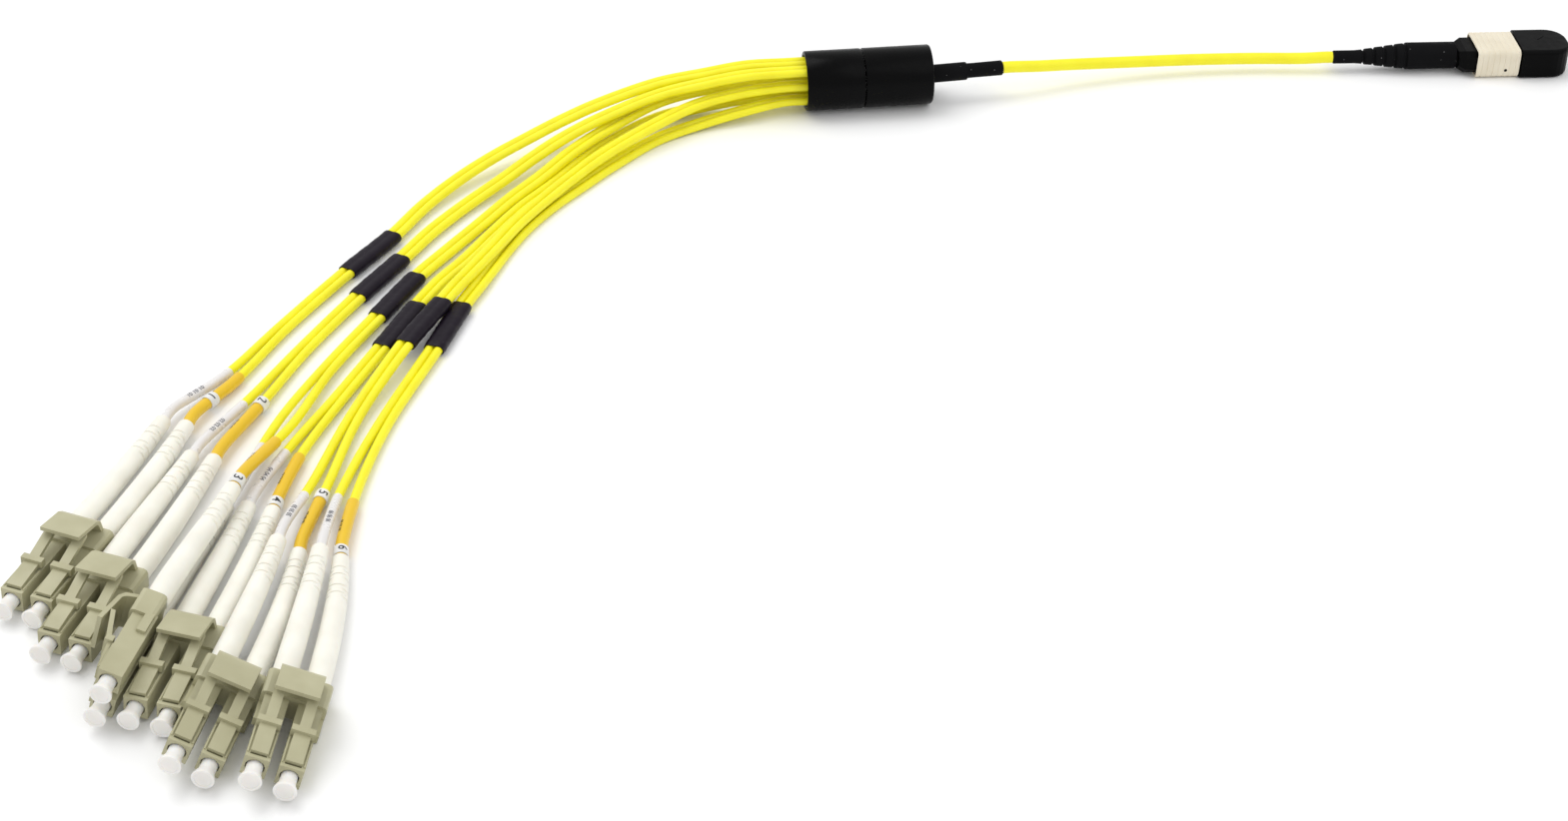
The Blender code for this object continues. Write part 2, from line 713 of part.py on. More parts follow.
def build_duplex(duplex, body, cap, paints):
    """Build one duplex plug with its boots, caps, legs and band."""
    name = f"duplex_{duplex.number}"
    matrix = duplex_frame(duplex)
    add_piece(f"{name}_body", body, paints["olive"], matrix, smooth=False)
    for side, label in ((-1, "left"), (1, "right")):
        seat = matrix @ Matrix.Translation(plug_centre(side) * MM)
        add_piece(f"{name}_{label}_dust_cap", cap, paints["white"], seat)
        line, leaving = boot_line(duplex, side)
        boot = boot_mesh(f"{name}_{label}_boot", line)
        add_piece(f"{name}_{label}_boot", boot, paints["white"])
        add_cable(f"{name}_{label}_leg", leg_points(duplex, side), LEG_DIAMETER, paints["yellow"])
    add_piece(f"{name}_band", band_mesh(f"{name}_band", duplex.number), paints["black"])


def build_breakout(paints):
    """Build the breakout tube's body and cap, and the strain relief behind it."""
    edge = BREAKOUT_EDGE
    full = BREAKOUT_DIAMETER
    rim = full - 2 * BREAKOUT_RIM
    body_end = BREAKOUT_BODY_LENGTH
    body = (
        (BREAKOUT_RECESS, rim), (0.0, rim), (0.0, full - 2 * edge / 2), (edge / 2, full),
        (body_end, full),
    )
    cap_start = body_end + TOUCH_GAP
    cap_end = cap_start + BREAKOUT_CAP_LENGTH
    cap = ((cap_start, full), (cap_end - edge, full), (cap_end, full - 2 * edge))
    place = (*BREAKOUT_FACE, full / 2)
    matrix = frame_at(place, BREAKOUT_HEADING)
    add_piece("breakout_body", turned("breakout_body", body, BREAKOUT_SIDES), paints["black"], matrix)
    add_piece("breakout_cap", turned("breakout_cap", cap, BREAKOUT_SIDES), paints["black"], matrix)
    relief = (
        (0.0, RELIEF_FRONT_DIAMETER), (RELIEF_FRONT_LENGTH, RELIEF_FRONT_DIAMETER),
        (RELIEF_FRONT_LENGTH, RELIEF_TAIL_DIAMETER),
        (RELIEF_FRONT_LENGTH + RELIEF_TAIL_LENGTH, RELIEF_TAIL_DIAMETER),
    )
    relief_matrix = frame_at(relief_start(), RELIEF_HEADING)
    add_piece("strain_relief", turned("strain_relief", relief, RELIEF_SIDES), paints["black"],
              relief_matrix)


def relief_start():
    """Return where the strain relief's front face stands, just off the breakout cap."""
    turn = math.radians(RELIEF_HEADING - BREAKOUT_HEADING)
    clear = TOUCH_GAP + RELIEF_FRONT_DIAMETER / 2 * math.sin(abs(turn))
    length = BREAKOUT_BODY_LENGTH + TOUCH_GAP + BREAKOUT_CAP_LENGTH + clear
    return Vector((*BREAKOUT_FACE, BREAKOUT_DIAMETER / 2)) + direction(BREAKOUT_HEADING) * length


def mpo_place(back):
    """Return the point on the 12-fibre plug's axis at a distance behind the sleeve's front."""
    face = Vector((*MPO_FACE, MPO_CAP_HEIGHT / 2))
    return face - direction(MPO_HEADING) * back


def mpo_sleeve():
    """Return the coupling sleeve, open at both ends."""
    outer = rounded_box(MPO_SLEEVE_WIDTH, MPO_SLEEVE_HEIGHT, MPO_SLEEVE_CORNER, 3)
    width = MPO_SLEEVE_WIDTH - 2 * MPO_SLEEVE_WALL
    height = MPO_SLEEVE_HEIGHT - 2 * MPO_SLEEVE_WALL
    inner = rounded_box(width, height, MPO_SLEEVE_CORNER - MPO_SLEEVE_WALL, 3)
    stations = ((0.0, outer), (MPO_SLEEVE_LENGTH, outer), (MPO_SLEEVE_LENGTH, inner), (0.0, inner))
    return straight_loft("mpo_coupling_sleeve", stations, closed=True)


def mpo_housing():
    """Return the plug's housing: the nose, the part in the sleeve and the octagonal collar."""
    margin = MPO_SLEEVE_WALL + SLIDING_GAP
    width = MPO_SLEEVE_WIDTH - 2 * margin
    height = MPO_SLEEVE_HEIGHT - 2 * margin
    back = MPO_SLEEVE_LENGTH + MPO_COLLAR_LENGTH
    shoulder = SLIDING_GAP
    full = rounded_box(width, height, MPO_HOUSING_CORNER)
    inset = 2 * MPO_COLLAR_INSET
    rear = rounded_box(width - inset, height - inset / 2, MPO_HOUSING_CORNER)
    nose = rounded_box(MPO_NOSE_WIDTH, MPO_NOSE_HEIGHT, MPO_HOUSING_CORNER / 2)
    pocket = rounded_box(MPO_FERRULE_WIDTH + 2 * SLIDING_GAP, MPO_FERRULE_HEIGHT + 2 * SLIDING_GAP, 0.2)
    floor = MPO_FERRULE_DEPTH - MPO_NOSE_OUT + SLIDING_GAP
    stations = (
        (floor, pocket), (-MPO_NOSE_OUT, pocket), (-MPO_NOSE_OUT, nose), (shoulder, nose),
        (shoulder, full), (back - MPO_COLLAR_FLARE, full), (back, rear),
    )
    return straight_loft("mpo_housing", stations)


def mpo_ferrule():
    """Return the flat 12-fibre ferrule that stands out of the housing's nose."""
    section = rounded_box(MPO_FERRULE_WIDTH, MPO_FERRULE_HEIGHT, 0.15)
    stations = ((-MPO_FERRULE_OUT, section), (MPO_FERRULE_DEPTH - MPO_NOSE_OUT, section))
    return straight_loft("mpo_ferrule", stations)


def mpo_cap():
    """Return the dust cap over the housing's nose, open towards the sleeve, with a half-round end."""
    steps = 3
    outer = rounded_box(MPO_CAP_WIDTH, MPO_CAP_HEIGHT, MPO_CAP_CORNER, steps)
    pocket_width = MPO_NOSE_WIDTH + 2 * SLIDING_GAP
    pocket_height = MPO_NOSE_HEIGHT + 2 * SLIDING_GAP
    pocket = rounded_box(pocket_width, pocket_height, MPO_HOUSING_CORNER / 2, steps)
    start = -TOUCH_GAP
    stations = [(start - MPO_CAP_POCKET, pocket), (start, pocket), (start, outer)]
    bend = start - MPO_CAP_LENGTH + MPO_CAP_END
    for step in range(MPO_CAP_STATIONS):
        angle = math.pi / 2 * step / (MPO_CAP_STATIONS - 1)
        share = MPO_CAP_TIP_SHARE + (1 - MPO_CAP_TIP_SHARE) * math.cos(angle)
        round_height = MPO_CAP_HEIGHT - MPO_CAP_BROW * (1 - math.cos(angle))
        section = rounded_box(MPO_CAP_WIDTH * share, round_height, MPO_CAP_CORNER, steps)
        stations.append((bend - MPO_CAP_END * math.sin(angle), section))
    return straight_loft("mpo_dust_cap", stations)


def mpo_boot():
    """Return the boot behind the collar: a smooth barrel, a stepped taper and a tail."""
    start = MPO_SLEEVE_LENGTH + MPO_COLLAR_LENGTH + TOUCH_GAP
    stations = [(start, MPO_BARREL_DIAMETER), (start + MPO_BARREL_LENGTH, MPO_BARREL_DIAMETER)]
    reach = start + MPO_BARREL_LENGTH
    step = MPO_TAPER_LENGTH / MPO_TAPER_STEPS
    fall = (MPO_BARREL_DIAMETER - MPO_TAIL_DIAMETER) / MPO_TAPER_STEPS
    for index in range(MPO_TAPER_STEPS):
        before = MPO_BARREL_DIAMETER - fall * index
        after = MPO_BARREL_DIAMETER - fall * (index + 1)
        notch = after - MPO_TAPER_NOTCH
        low = reach + step * index
        stations.append((low + step * 0.1, notch))
        stations.append((low + step * 0.35, notch))
        stations.append((low + step * 0.45, before - fall / 2))
        stations.append((low + step, after))
    end = reach + MPO_TAPER_LENGTH + MPO_TAIL_LENGTH
    stations.append((end, MPO_TAIL_DIAMETER))
    return turned("mpo_boot", stations, MPO_BOOT_SIDES)


def mpo_length():
    """Return how far the boot's tail stands behind the sleeve's front."""
    front = MPO_SLEEVE_LENGTH + MPO_COLLAR_LENGTH + TOUCH_GAP + MPO_BARREL_LENGTH
    return front + MPO_TAPER_LENGTH + MPO_TAIL_LENGTH


def build_mpo(paints):
    """Build the 12-fibre plug at the trunk's end."""
    matrix = frame_at(mpo_place(0.0), MPO_HEADING + 180.0)
    add_piece("mpo_coupling_sleeve", mpo_sleeve(), paints["cream"], matrix)
    add_piece("mpo_housing", mpo_housing(), paints["black"], matrix, smooth=False)
    add_piece("mpo_ferrule", mpo_ferrule(), paints["black"], matrix, smooth=False)
    add_piece("mpo_dust_cap", mpo_cap(), paints["black"], matrix)
    add_piece("mpo_boot", mpo_boot(), paints["black"], matrix)


def build_trunk(paints):
    """Build the trunk cable between the strain relief and the 12-fibre plug's boot."""
    along = direction(RELIEF_HEADING)
    relief_length = RELIEF_FRONT_LENGTH + RELIEF_TAIL_LENGTH + TOUCH_GAP
    start = relief_start() + along * relief_length
    start_lead = start + along * TRUNK_LEAD
    end = mpo_place(mpo_length() + TOUCH_GAP)
    end_lead = mpo_place(mpo_length() + TOUCH_GAP + TRUNK_LEAD)
    points = [start, start_lead, *TRUNK_ROUTE, end_lead, end]
    add_cable("trunk_cable", points, TRUNK_DIAMETER, paints["yellow"])


def main():
    """Build the whole jumper."""
    clear_scene()
    paints = {
        "yellow": make_material("yellow_jacket", YELLOW, 0.45),
        "black": make_material("black_plastic", BLACK, 0.35),
        "olive": make_material("olive_plastic", OLIVE, 0.5),
        "white": make_material("white_plastic", WHITE, 0.4),
        "cream": make_material("cream_plastic", CREAM, 0.45),
    }
    body = duplex_mesh()
    cap = cap_mesh()
    for duplex in DUPLEXES:
        build_duplex(duplex, body, cap, paints)
    build_breakout(paints)
    build_mpo(paints)
    build_trunk(paints)


main()
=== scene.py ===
"""Looks of the fibre optic breakout jumper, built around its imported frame.

Sizes are in millimetres in the drawing's own frame, and place() turns a point into the row frame in
metres. Each sub-assembly is a class that builds its pieces, dresses them and rides them on their body.
"""

import logging
import math
from dataclasses import dataclass, field
from enum import Enum
from typing import Callable, Iterable, Sequence

import bmesh
import bpy
from mathutils import Matrix, Vector


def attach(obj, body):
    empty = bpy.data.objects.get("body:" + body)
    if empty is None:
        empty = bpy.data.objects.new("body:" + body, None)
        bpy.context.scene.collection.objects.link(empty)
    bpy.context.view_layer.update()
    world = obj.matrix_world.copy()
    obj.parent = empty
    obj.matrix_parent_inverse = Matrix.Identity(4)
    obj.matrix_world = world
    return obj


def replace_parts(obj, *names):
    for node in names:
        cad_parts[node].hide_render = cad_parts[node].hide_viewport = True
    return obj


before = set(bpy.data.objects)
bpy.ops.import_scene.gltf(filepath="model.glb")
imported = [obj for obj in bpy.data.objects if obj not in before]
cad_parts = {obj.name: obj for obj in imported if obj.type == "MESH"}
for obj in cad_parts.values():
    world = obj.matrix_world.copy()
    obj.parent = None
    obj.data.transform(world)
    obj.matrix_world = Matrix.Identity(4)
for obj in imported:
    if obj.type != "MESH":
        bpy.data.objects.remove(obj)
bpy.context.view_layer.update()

log = logging.getLogger("jumper")

MM = 0.001
ORIGIN = Vector((-1.63, -7.00, 0.0))
UP = Vector((0.0, 0.0, 1.0))

Ring = list[Vector]
Colour = tuple[float, float, float]
Section = list[tuple[float, float]]


class Side(Enum):
    """Which of a duplex plug's two plugs a piece belongs to."""

    LEFT = -1
    RIGHT = 1

    @property
    def label(self) -> str:
        """The side's word in node names."""
        return self.name.lower()


class Slot(Enum):
    """The record's material slots."""

    YELLOW = "yellow_jacket"
    BLACK = "black_plastic"
    OLIVE = "olive_plastic"
    WHITE = "white_plastic"
    CREAM = "cream_plastic"


# Materials

class Recipe:
    """A material's node tree, put together from small steps."""

    def __init__(self, name: str, colour: Colour, roughness: float) -> None:
        """Start a Principled material.

        Args:
            name: the material's name.
            colour: its base colour, linear.
            roughness: its plain roughness.
        """
        self.material = bpy.data.materials.new(name)
        self.material.use_nodes = True
        self.tree = self.material.node_tree
        self.shader = self.tree.nodes["Principled BSDF"]
        self.set("Base Color", (*colour, 1.0))
        self.set("Roughness", roughness)
        self.where = self.add("ShaderNodeTexCoord").outputs["Object"]

    def add(self, kind: str) -> bpy.types.Node:
        """Return a new node of that kind."""
        return self.tree.nodes.new(kind)

    def set(self, socket: str, value: object) -> None:
        """Set a value on the shader's own socket."""
        self.shader.inputs[socket].default_value = value

    def join(self, source: bpy.types.NodeSocket, target: bpy.types.NodeSocket) -> None:
        """Link one socket to another."""
        self.tree.links.new(source, target)

    def stretched(self, stretch: Sequence[float]) -> bpy.types.NodeSocket:
        """Return the object's coordinates scaled along each axis.

        Args:
            stretch: the scale along X, Y and Z.

        Returns:
            The scaled coordinates.
        """
        node = self.add("ShaderNodeMapping")
        node.inputs["Scale"].default_value = stretch
        self.join(self.where, node.inputs["Vector"])
        return node.outputs["Vector"]

    def noise(self, grain: float, detail: float = 3.0,
              stretch: Sequence[float] = (1.0, 1.0, 1.0)) -> bpy.types.NodeSocket:
        """Return a soft noise.

        Args:
            grain: the size of its blotches in millimetres.
            detail: how many finer layers lie on it.
            stretch: the scale along each axis.

        Returns:
            The noise's value, from 0 to 1.
        """
        node = self.add("ShaderNodeTexNoise")
        node.inputs["Scale"].default_value = 1.0 / (grain * MM)
        node.inputs["Detail"].default_value = detail
        self.join(self.stretched(stretch), node.inputs["Vector"])
        return node.outputs["Fac"]

    def specks(self, grain: float, share: float) -> bpy.types.NodeSocket:
        """Return sparse round specks.

        Args:
            grain: the distance between specks in millimetres.
            share: the radius of a speck as a share of that distance.

        Returns:
            1 inside a speck and 0 outside.
        """
        node = self.add("ShaderNodeTexVoronoi")
        node.inputs["Scale"].default_value = 1.0 / (grain * MM)
        self.join(self.where, node.inputs["Vector"])
        return self.span(node.outputs["Distance"], share, share * 0.6, 0.0, 1.0)

    def span(self, source: bpy.types.NodeSocket, low: float, high: float,
             to_low: float, to_high: float) -> bpy.types.NodeSocket:
        """Return a value carried from one range to another, and held at its ends.

        Args:
            source: the value.
            low: the start of its range.
            high: the end of its range.
            to_low: what the start becomes.
            to_high: what the end becomes.

        Returns:
            The carried value.
        """
        node = self.add("ShaderNodeMapRange")
        for name, value in (("From Min", low), ("From Max", high), ("To Min", to_low), ("To Max", to_high)):
            node.inputs[name].default_value = value
        self.join(source, node.inputs["Value"])
        return node.outputs["Result"]

    def blend(self, share: bpy.types.NodeSocket, first: object, second: object) -> bpy.types.NodeSocket:
        """Return a colour between two colours or colour sockets.

        Args:
            share: how much of the second colour it takes.
            first: the first colour.
            second: the second colour.

        Returns:
            The blended colour.
        """
        node = self.add("ShaderNodeMix")
        node.data_type = "RGBA"
        self.join(share, node.inputs["Factor"])
        for name, value in (("A", first), ("B", second)):
            socket = next(item for item in node.inputs if item.name == name and item.type == "RGBA")
            if isinstance(value, bpy.types.NodeSocket):
                self.join(value, socket)
            else:
                socket.default_value = (*value, 1.0)
        return next(item for item in node.outputs if item.type == "RGBA")

    def colour(self, source: bpy.types.NodeSocket) -> None:
        """Take the base colour from a socket."""
        self.join(source, self.shader.inputs["Base Color"])

    def roughness(self, source: bpy.types.NodeSocket, low: float, high: float) -> None:
        """Take the roughness from a noise, between two values."""
        self.join(self.span(source, 0.3, 0.7, low, high), self.shader.inputs["Roughness"])

    def relief(self, *layers: tuple[bpy.types.NodeSocket, float]) -> None:
        """Stack bumps.

        Args:
            layers: for each bump its height socket and its depth in millimetres.
        """
        below = None
        for height, depth in layers:
            node = self.add("ShaderNodeBump")
            node.inputs["Strength"].default_value = 1.0
            node.inputs["Distance"].default_value = depth * MM
            self.join(height, node.inputs["Height"])
            if below is not None:
                self.join(below, node.inputs["Normal"])
            below = node.outputs["Normal"]
        self.join(below, self.shader.inputs["Normal"])


@dataclass(frozen=True)
class Moulded:
    """A moulded plastic with a fine spark-eroded grain and slow shifts of tone."""

    name: str
    tone: Colour
    second: Colour
    smooth: float
    rough: float
    grain: float = 0.25
    depth: float = 0.012
    glow: float = 0.0
    shine: float = 0.4

    def material(self) -> bpy.types.Material:
        """Build the finish.

        Returns:
            The material.
        """
        recipe = Recipe(self.name, self.tone, self.rough)
        clouds = recipe.noise(7.0, 2.0)
        grain = recipe.noise(self.grain, 4.0)
        recipe.colour(recipe.blend(recipe.span(clouds, 0.35, 0.65, 0.0, 1.0), self.tone, self.second))
        recipe.roughness(recipe.noise(2.2, 3.0), self.smooth, self.rough)
        recipe.relief((grain, self.depth), (recipe.noise(3.5, 2.0), 0.03))
        recipe.set("Specular IOR Level", self.shine)
        if self.glow:
            recipe.set("Subsurface Weight", self.glow)
            recipe.set("Subsurface Radius", (1.2 * MM, 1.0 * MM, 0.8 * MM))
            recipe.set("Subsurface Scale", 1.0)
        return recipe.material


@dataclass(frozen=True)
class SpeckledBlack:
    """A black plastic with fine scuffs and pale dust specks."""

    name: str
    tone: Colour
    smooth: float
    rough: float
    dust: float = 0.04
    shine: float = 0.03

    def material(self) -> bpy.types.Material:
        """Build the finish.

        Returns:
            The material.
        """
        recipe = Recipe(self.name, self.tone, self.rough)
        specks = recipe.specks(1.9, self.dust)
        pale = tuple(min(1.0, channel + 0.22) for channel in self.tone)
        second = tuple(channel * 1.4 for channel in self.tone)
        body = recipe.blend(recipe.noise(4.0, 3.0), self.tone, second)
        recipe.colour(recipe.blend(specks, body, pale))
        recipe.roughness(recipe.noise(1.4, 4.0), self.smooth, self.rough)
        recipe.relief((recipe.noise(0.22, 4.0), 0.01), (recipe.noise(2.5, 2.0), 0.02))
        recipe.set("Specular IOR Level", self.shine)
        return recipe.material


@dataclass(frozen=True)
class Jacket:
    """An extruded cable jacket with faint flow lines and small rubbed spots."""

    name: str
    tone: Colour
    second: Colour

    def material(self) -> bpy.types.Material:
        """Build the finish.

        Returns:
            The material.
        """
        recipe = Recipe(self.name, self.tone, 0.42)
        flow = recipe.noise(5.0, 3.0)
        recipe.colour(recipe.blend(recipe.span(flow, 0.35, 0.7, 0.0, 1.0), self.tone, self.second))
        recipe.roughness(recipe.noise(1.1, 3.0), 0.34, 0.5)
        recipe.relief((recipe.noise(0.3, 3.0), 0.012), (recipe.noise(1.6, 2.0), 0.025))
        recipe.set("Subsurface Weight", 0.12)
        recipe.set("Subsurface Radius", (0.9 * MM, 0.7 * MM, 0.1 * MM))
        recipe.set("Subsurface Scale", 1.0)
        recipe.set("Specular IOR Level", 0.45)
        return recipe.material


@dataclass(frozen=True)
class ClearTube:
    """A see-through tube, milky or tinted, with faint draw lines."""

    name: str
    tone: Colour
    clear: float
    roughness: float

    def material(self) -> bpy.types.Material:
        """Build the finish.

        Returns:
            The material.
        """
        recipe = Recipe(self.name, self.tone, self.roughness)
        deeper = tuple(channel * 0.95 for channel in self.tone)
        recipe.colour(recipe.blend(recipe.noise(5.0, 2.0), self.tone, deeper))
        recipe.roughness(recipe.noise(3.0, 2.0), self.roughness * 0.85, self.roughness * 1.15)
        recipe.relief((recipe.noise(3.0, 1.0), 0.01))
        recipe.set("Transmission Weight", self.clear)
        recipe.set("IOR", 1.42)
        return recipe.material


@dataclass(frozen=True)
class Ink:
    """A printed mark with slightly broken edges."""

    name: str
    tone: Colour

    def material(self) -> bpy.types.Material:
        """Build the finish.

        Returns:
            The material.
        """
        recipe = Recipe(self.name, self.tone, 0.5)
        worn = tuple(min(1.0, channel + 0.12) for channel in self.tone)
        wear = recipe.span(recipe.noise(0.12, 2.0), 0.55, 0.8, 0.0, 1.0)
        recipe.colour(recipe.blend(wear, self.tone, worn))
        recipe.relief((recipe.noise(0.15, 2.0), 0.01))
        return recipe.material


@dataclass(frozen=True)
class Paper:
    """The pale matt sheet that the jumper lies on."""

    name: str
    tone: Colour

    def material(self) -> bpy.types.Material:
        """Build the finish.

        Returns:
            The material.
        """
        recipe = Recipe(self.name, self.tone, 0.6)
        second = tuple(channel * 0.985 for channel in self.tone)
        recipe.colour(recipe.blend(recipe.noise(60.0, 2.0), self.tone, second))
        recipe.relief((recipe.noise(0.8, 3.0), 0.01))
        return recipe.material


class Finishes:
    """Every finish of the jumper, each made once."""

    def __init__(self) -> None:
        """Make the materials."""
        self.yellow = Jacket("yellow_jacket_finish", (0.93, 0.87, 0.012), (0.89, 0.81, 0.008)).material()
        self.olive = Moulded("olive_plug_plastic", (0.47, 0.45, 0.29), (0.42, 0.40, 0.25),
                             0.38, 0.56, grain=0.3, depth=0.014).material()
        self.boot = Moulded("soft_white_boot", (0.90, 0.885, 0.80), (0.84, 0.82, 0.735), 0.42, 0.58,
                            grain=0.4, depth=0.012, glow=0.2).material()
        self.cap = Moulded("waxy_white_cap", (0.88, 0.86, 0.83), (0.82, 0.80, 0.77), 0.28, 0.42,
                           grain=0.5, depth=0.006, glow=0.4).material()
        self.cream = Moulded("cream_sleeve_plastic", (0.79, 0.72, 0.575), (0.73, 0.655, 0.51), 0.4, 0.55,
                             grain=0.25, depth=0.012, glow=0.1).material()
        self.ring = Moulded("white_number_ring", (0.84, 0.84, 0.82), (0.76, 0.76, 0.75), 0.35, 0.5,
                            grain=0.3, depth=0.008).material()
        self.tube = SpeckledBlack("black_tube_plastic", (0.001, 0.001, 0.0011), 0.24, 0.36, 0.0,
                                  shine=0.07).material()
        self.rubber = SpeckledBlack("black_boot_rubber", (0.005, 0.005, 0.0055), 0.4, 0.6, 0.07).material()
        self.black_cap = SpeckledBlack("black_cap_plastic", (0.0015, 0.0015, 0.0016), 0.3, 0.44, 0.0,
                                       shine=0.05).material()
        self.band = SpeckledBlack("dark_shrink_tube", (0.007, 0.004, 0.009), 0.3, 0.5, 0.03,
                                  shine=0.14).material()
        self.seal = SpeckledBlack("black_potting", (0.003, 0.003, 0.003), 0.3, 0.5, 0.0).material()
        self.milky = ClearTube("milky_clear_tube", (0.97, 0.95, 0.935), 0.22, 0.3).material()
        self.amber = ClearTube("amber_tube", (0.86, 0.56, 0.02), 0.05, 0.35).material()
        self.core = Moulded("white_fibre_buffer", (0.86, 0.85, 0.84), (0.8, 0.79, 0.79),
                            0.4, 0.5).material()
        self.shade = Moulded("dark_olive_shadow", (0.10, 0.095, 0.045), (0.07, 0.065, 0.03),
                             0.6, 0.8).material()
        self.ink = Ink("black_ink", (0.02, 0.02, 0.025)).material()
        self.grey_ink = Ink("grey_ink", (0.16, 0.16, 0.18)).material()
        self.paper = Paper("pale_sheet", (0.955, 0.957, 0.957)).material()


# Points, lines and meshes

def place(point: Vector) -> Vector:
    """Return a drawing point in millimetres as a row frame point in metres."""
    return (point - ORIGIN) * MM


def heading_vector(heading: float) -> Vector:
    """Return the level direction at a heading in degrees from +X."""
    return Vector((math.cos(math.radians(heading)), math.sin(math.radians(heading)), 0.0))


def right_of(along: Vector) -> Vector:
    """Return the level direction to the right of a direction."""
    return Vector((along.y, -along.x, 0.0)).normalized()


def pose(at: Vector, heading: float, roll: float = 0.0) -> Matrix:
    """Return the matrix, in millimetres, that puts a piece at a point.

    Args:
        at: where its own origin goes.
        heading: where its back axis, +Y, points, in degrees from +X.
        roll: its turn about the back axis.

    Returns:
        The matrix from the piece's own frame to the drawing frame.
    """
    turn = Matrix.Rotation(math.radians(heading - 90.0), 4, "Z")
    return Matrix.Translation(at) @ turn @ Matrix.Rotation(math.radians(roll), 4, "Y")


def circle(radius: float, sides: int) -> Section:
    """Return (across, up) points of a circle."""
    angles = [2 * math.pi * (index + 0.5) / sides for index in range(sides)]
    return [(radius * math.cos(angle), radius * math.sin(angle)) for angle in angles]


def rounded_box(width: float, height: float, corner: float, steps: int = 4) -> Section:
    """Return (across, up) points of a rectangle with round corners.

    Args:
        width: its whole width.
        height: its whole height.
        corner: the radius of its corners.
        steps: how many straight steps make a corner.

    Returns:
        Its points in order.
    """
    points = []
    for quarter, (side, end) in enumerate(((1, 1), (-1, 1), (-1, -1), (1, -1))):
        middle = Vector((side * (width / 2 - corner), end * (height / 2 - corner)))
        for step in range(steps + 1):
            angle = math.pi / 2 * (quarter + step / steps)
            points.append(tuple(middle + corner * Vector((math.cos(angle), math.sin(angle)))))
    return points


class Route:
    """A smooth line through given points, in millimetres."""

    def __init__(self, points: Iterable[Sequence[float]]) -> None:
        """Keep the route's own points."""
        self.points = [Vector(point) for point in points]

    def line(self, spacing: float) -> list[Vector]:
        """Return evenly spaced points on the smooth line.

        Args:
            spacing: about how far apart they are, in millimetres.

        Returns:
            The points from start to end.
        """
        knots = self.points
        knots = [2 * knots[0] - knots[1], *knots, 2 * knots[-1] - knots[-2]]
        dense = []
        for start in range(len(knots) - 3):
            dense.extend(self._span(knots[start:start + 4]))
        dense.append(knots[-2])
        return evenly(dense, spacing)

    @staticmethod
    def _span(knots: list[Vector], steps: int = 24) -> list[Vector]:
        """Return points between the middle knots of a centripetal Catmull-Rom curve.

        Args:
            knots: the curve's four knots.
            steps: how many points to return.

        Returns:
            The points, without the last knot.
        """
        times = [0.0]
        for before, after in zip(knots, knots[1:]):
            times.append(times[-1] + max((after - before).length, 1e-6) ** 0.5)
        points = []
        for step in range(steps):
            time = times[1] + (times[2] - times[1]) * step / steps
            level = list(knots)
            for reach in (1, 2):
                level = [
                    level[spot].lerp(level[spot + 1],
                                     (time - times[spot]) / (times[spot + reach] - times[spot]))
                    for spot in range(len(level) - 1)
                ]
            points.append(level[0].lerp(level[1], (time - times[1]) / (times[2] - times[1])))
        return points


def lengths_along(points: Sequence[Vector]) -> list[float]:
    """Return how far along a line each of its points is.

    Args:
        points: the line's points.

    Returns:
        The distance of each point from the first.
    """
    reached = [0.0]
    for before, after in zip(points, points[1:]):
        reached.append(reached[-1] + (after - before).length)
    return reached


def point_at(points: Sequence[Vector], reached: Sequence[float], distance: float) -> Vector:
    """Return the point of a line at a distance from its start.

    Args:
        points: the line's points.
        reached: how far along it each one is.
        distance: the distance from its start.

    Returns:
        The point, or the last one past the end.
    """
    for index in range(1, len(points)):
        if reached[index] >= distance:
            stretch = reached[index] - reached[index - 1]
            part = (distance - reached[index - 1]) / max(stretch, 1e-9)
            return points[index - 1].lerp(points[index], part)
    return points[-1].copy()


def evenly(points: Sequence[Vector], spacing: float) -> list[Vector]:
    """Return points of a line at equal distances.

    Args:
        points: the line's points.
        spacing: about how far apart the new ones are.

    Returns:
        The new points.
    """
    reached = lengths_along(points)
    count = max(2, round(reached[-1] / spacing))
    return [point_at(points, reached, reached[-1] * step / count) for step in range(count + 1)]


def piece_of(line: Sequence[Vector], distances: Sequence[float]) -> list[Vector]:
    """Return the points of a line at the given distances."""
    reached = lengths_along(line)
    return [point_at(line, reached, distance) for distance in distances]


def frames_along(line: Sequence[Vector]) -> list[tuple[Vector, Vector, Vector]]:
    """Return the frames across a line that runs roughly level.

    Args:
        line: the line's points.

    Returns:
        The point, its level direction across and its direction up, for each point.
    """
    frames = []
    for index, point in enumerate(line):
        along = line[min(index + 1, len(line) - 1)] - line[max(index - 1, 0)]
        across = right_of(along)
        tilted = (UP - along * (along.z / along.length_squared)).normalized()
        frames.append((point, across, tilted))
    return frames


def swept(line: Sequence[Vector], sections: Sequence[Section]) -> list[Ring]:
    """Return each section placed across its point of a line.

    Args:
        line: the line's points.
        sections: one section for each point.

    Returns:
        One ring for each point.
    """
    rings = []
    for (point, across, up), section in zip(frames_along(line), sections):
        rings.append([point + across * side + up * rise for side, rise in section])
    return rings


def straight(stations: Iterable[tuple[float, Section]]) -> list[Ring]:
    """Return rings of (back, section) stations along a piece's own back axis."""
    return [[Vector((side, back, rise)) for side, rise in section] for back, section in stations]


def turned(stations: Iterable[tuple[float, float]], sides: int) -> list[Ring]:
    """Return rings of (back, diameter) stations about a piece's own back axis."""
    return straight((back, circle(diameter / 2, sides)) for back, diameter in stations)


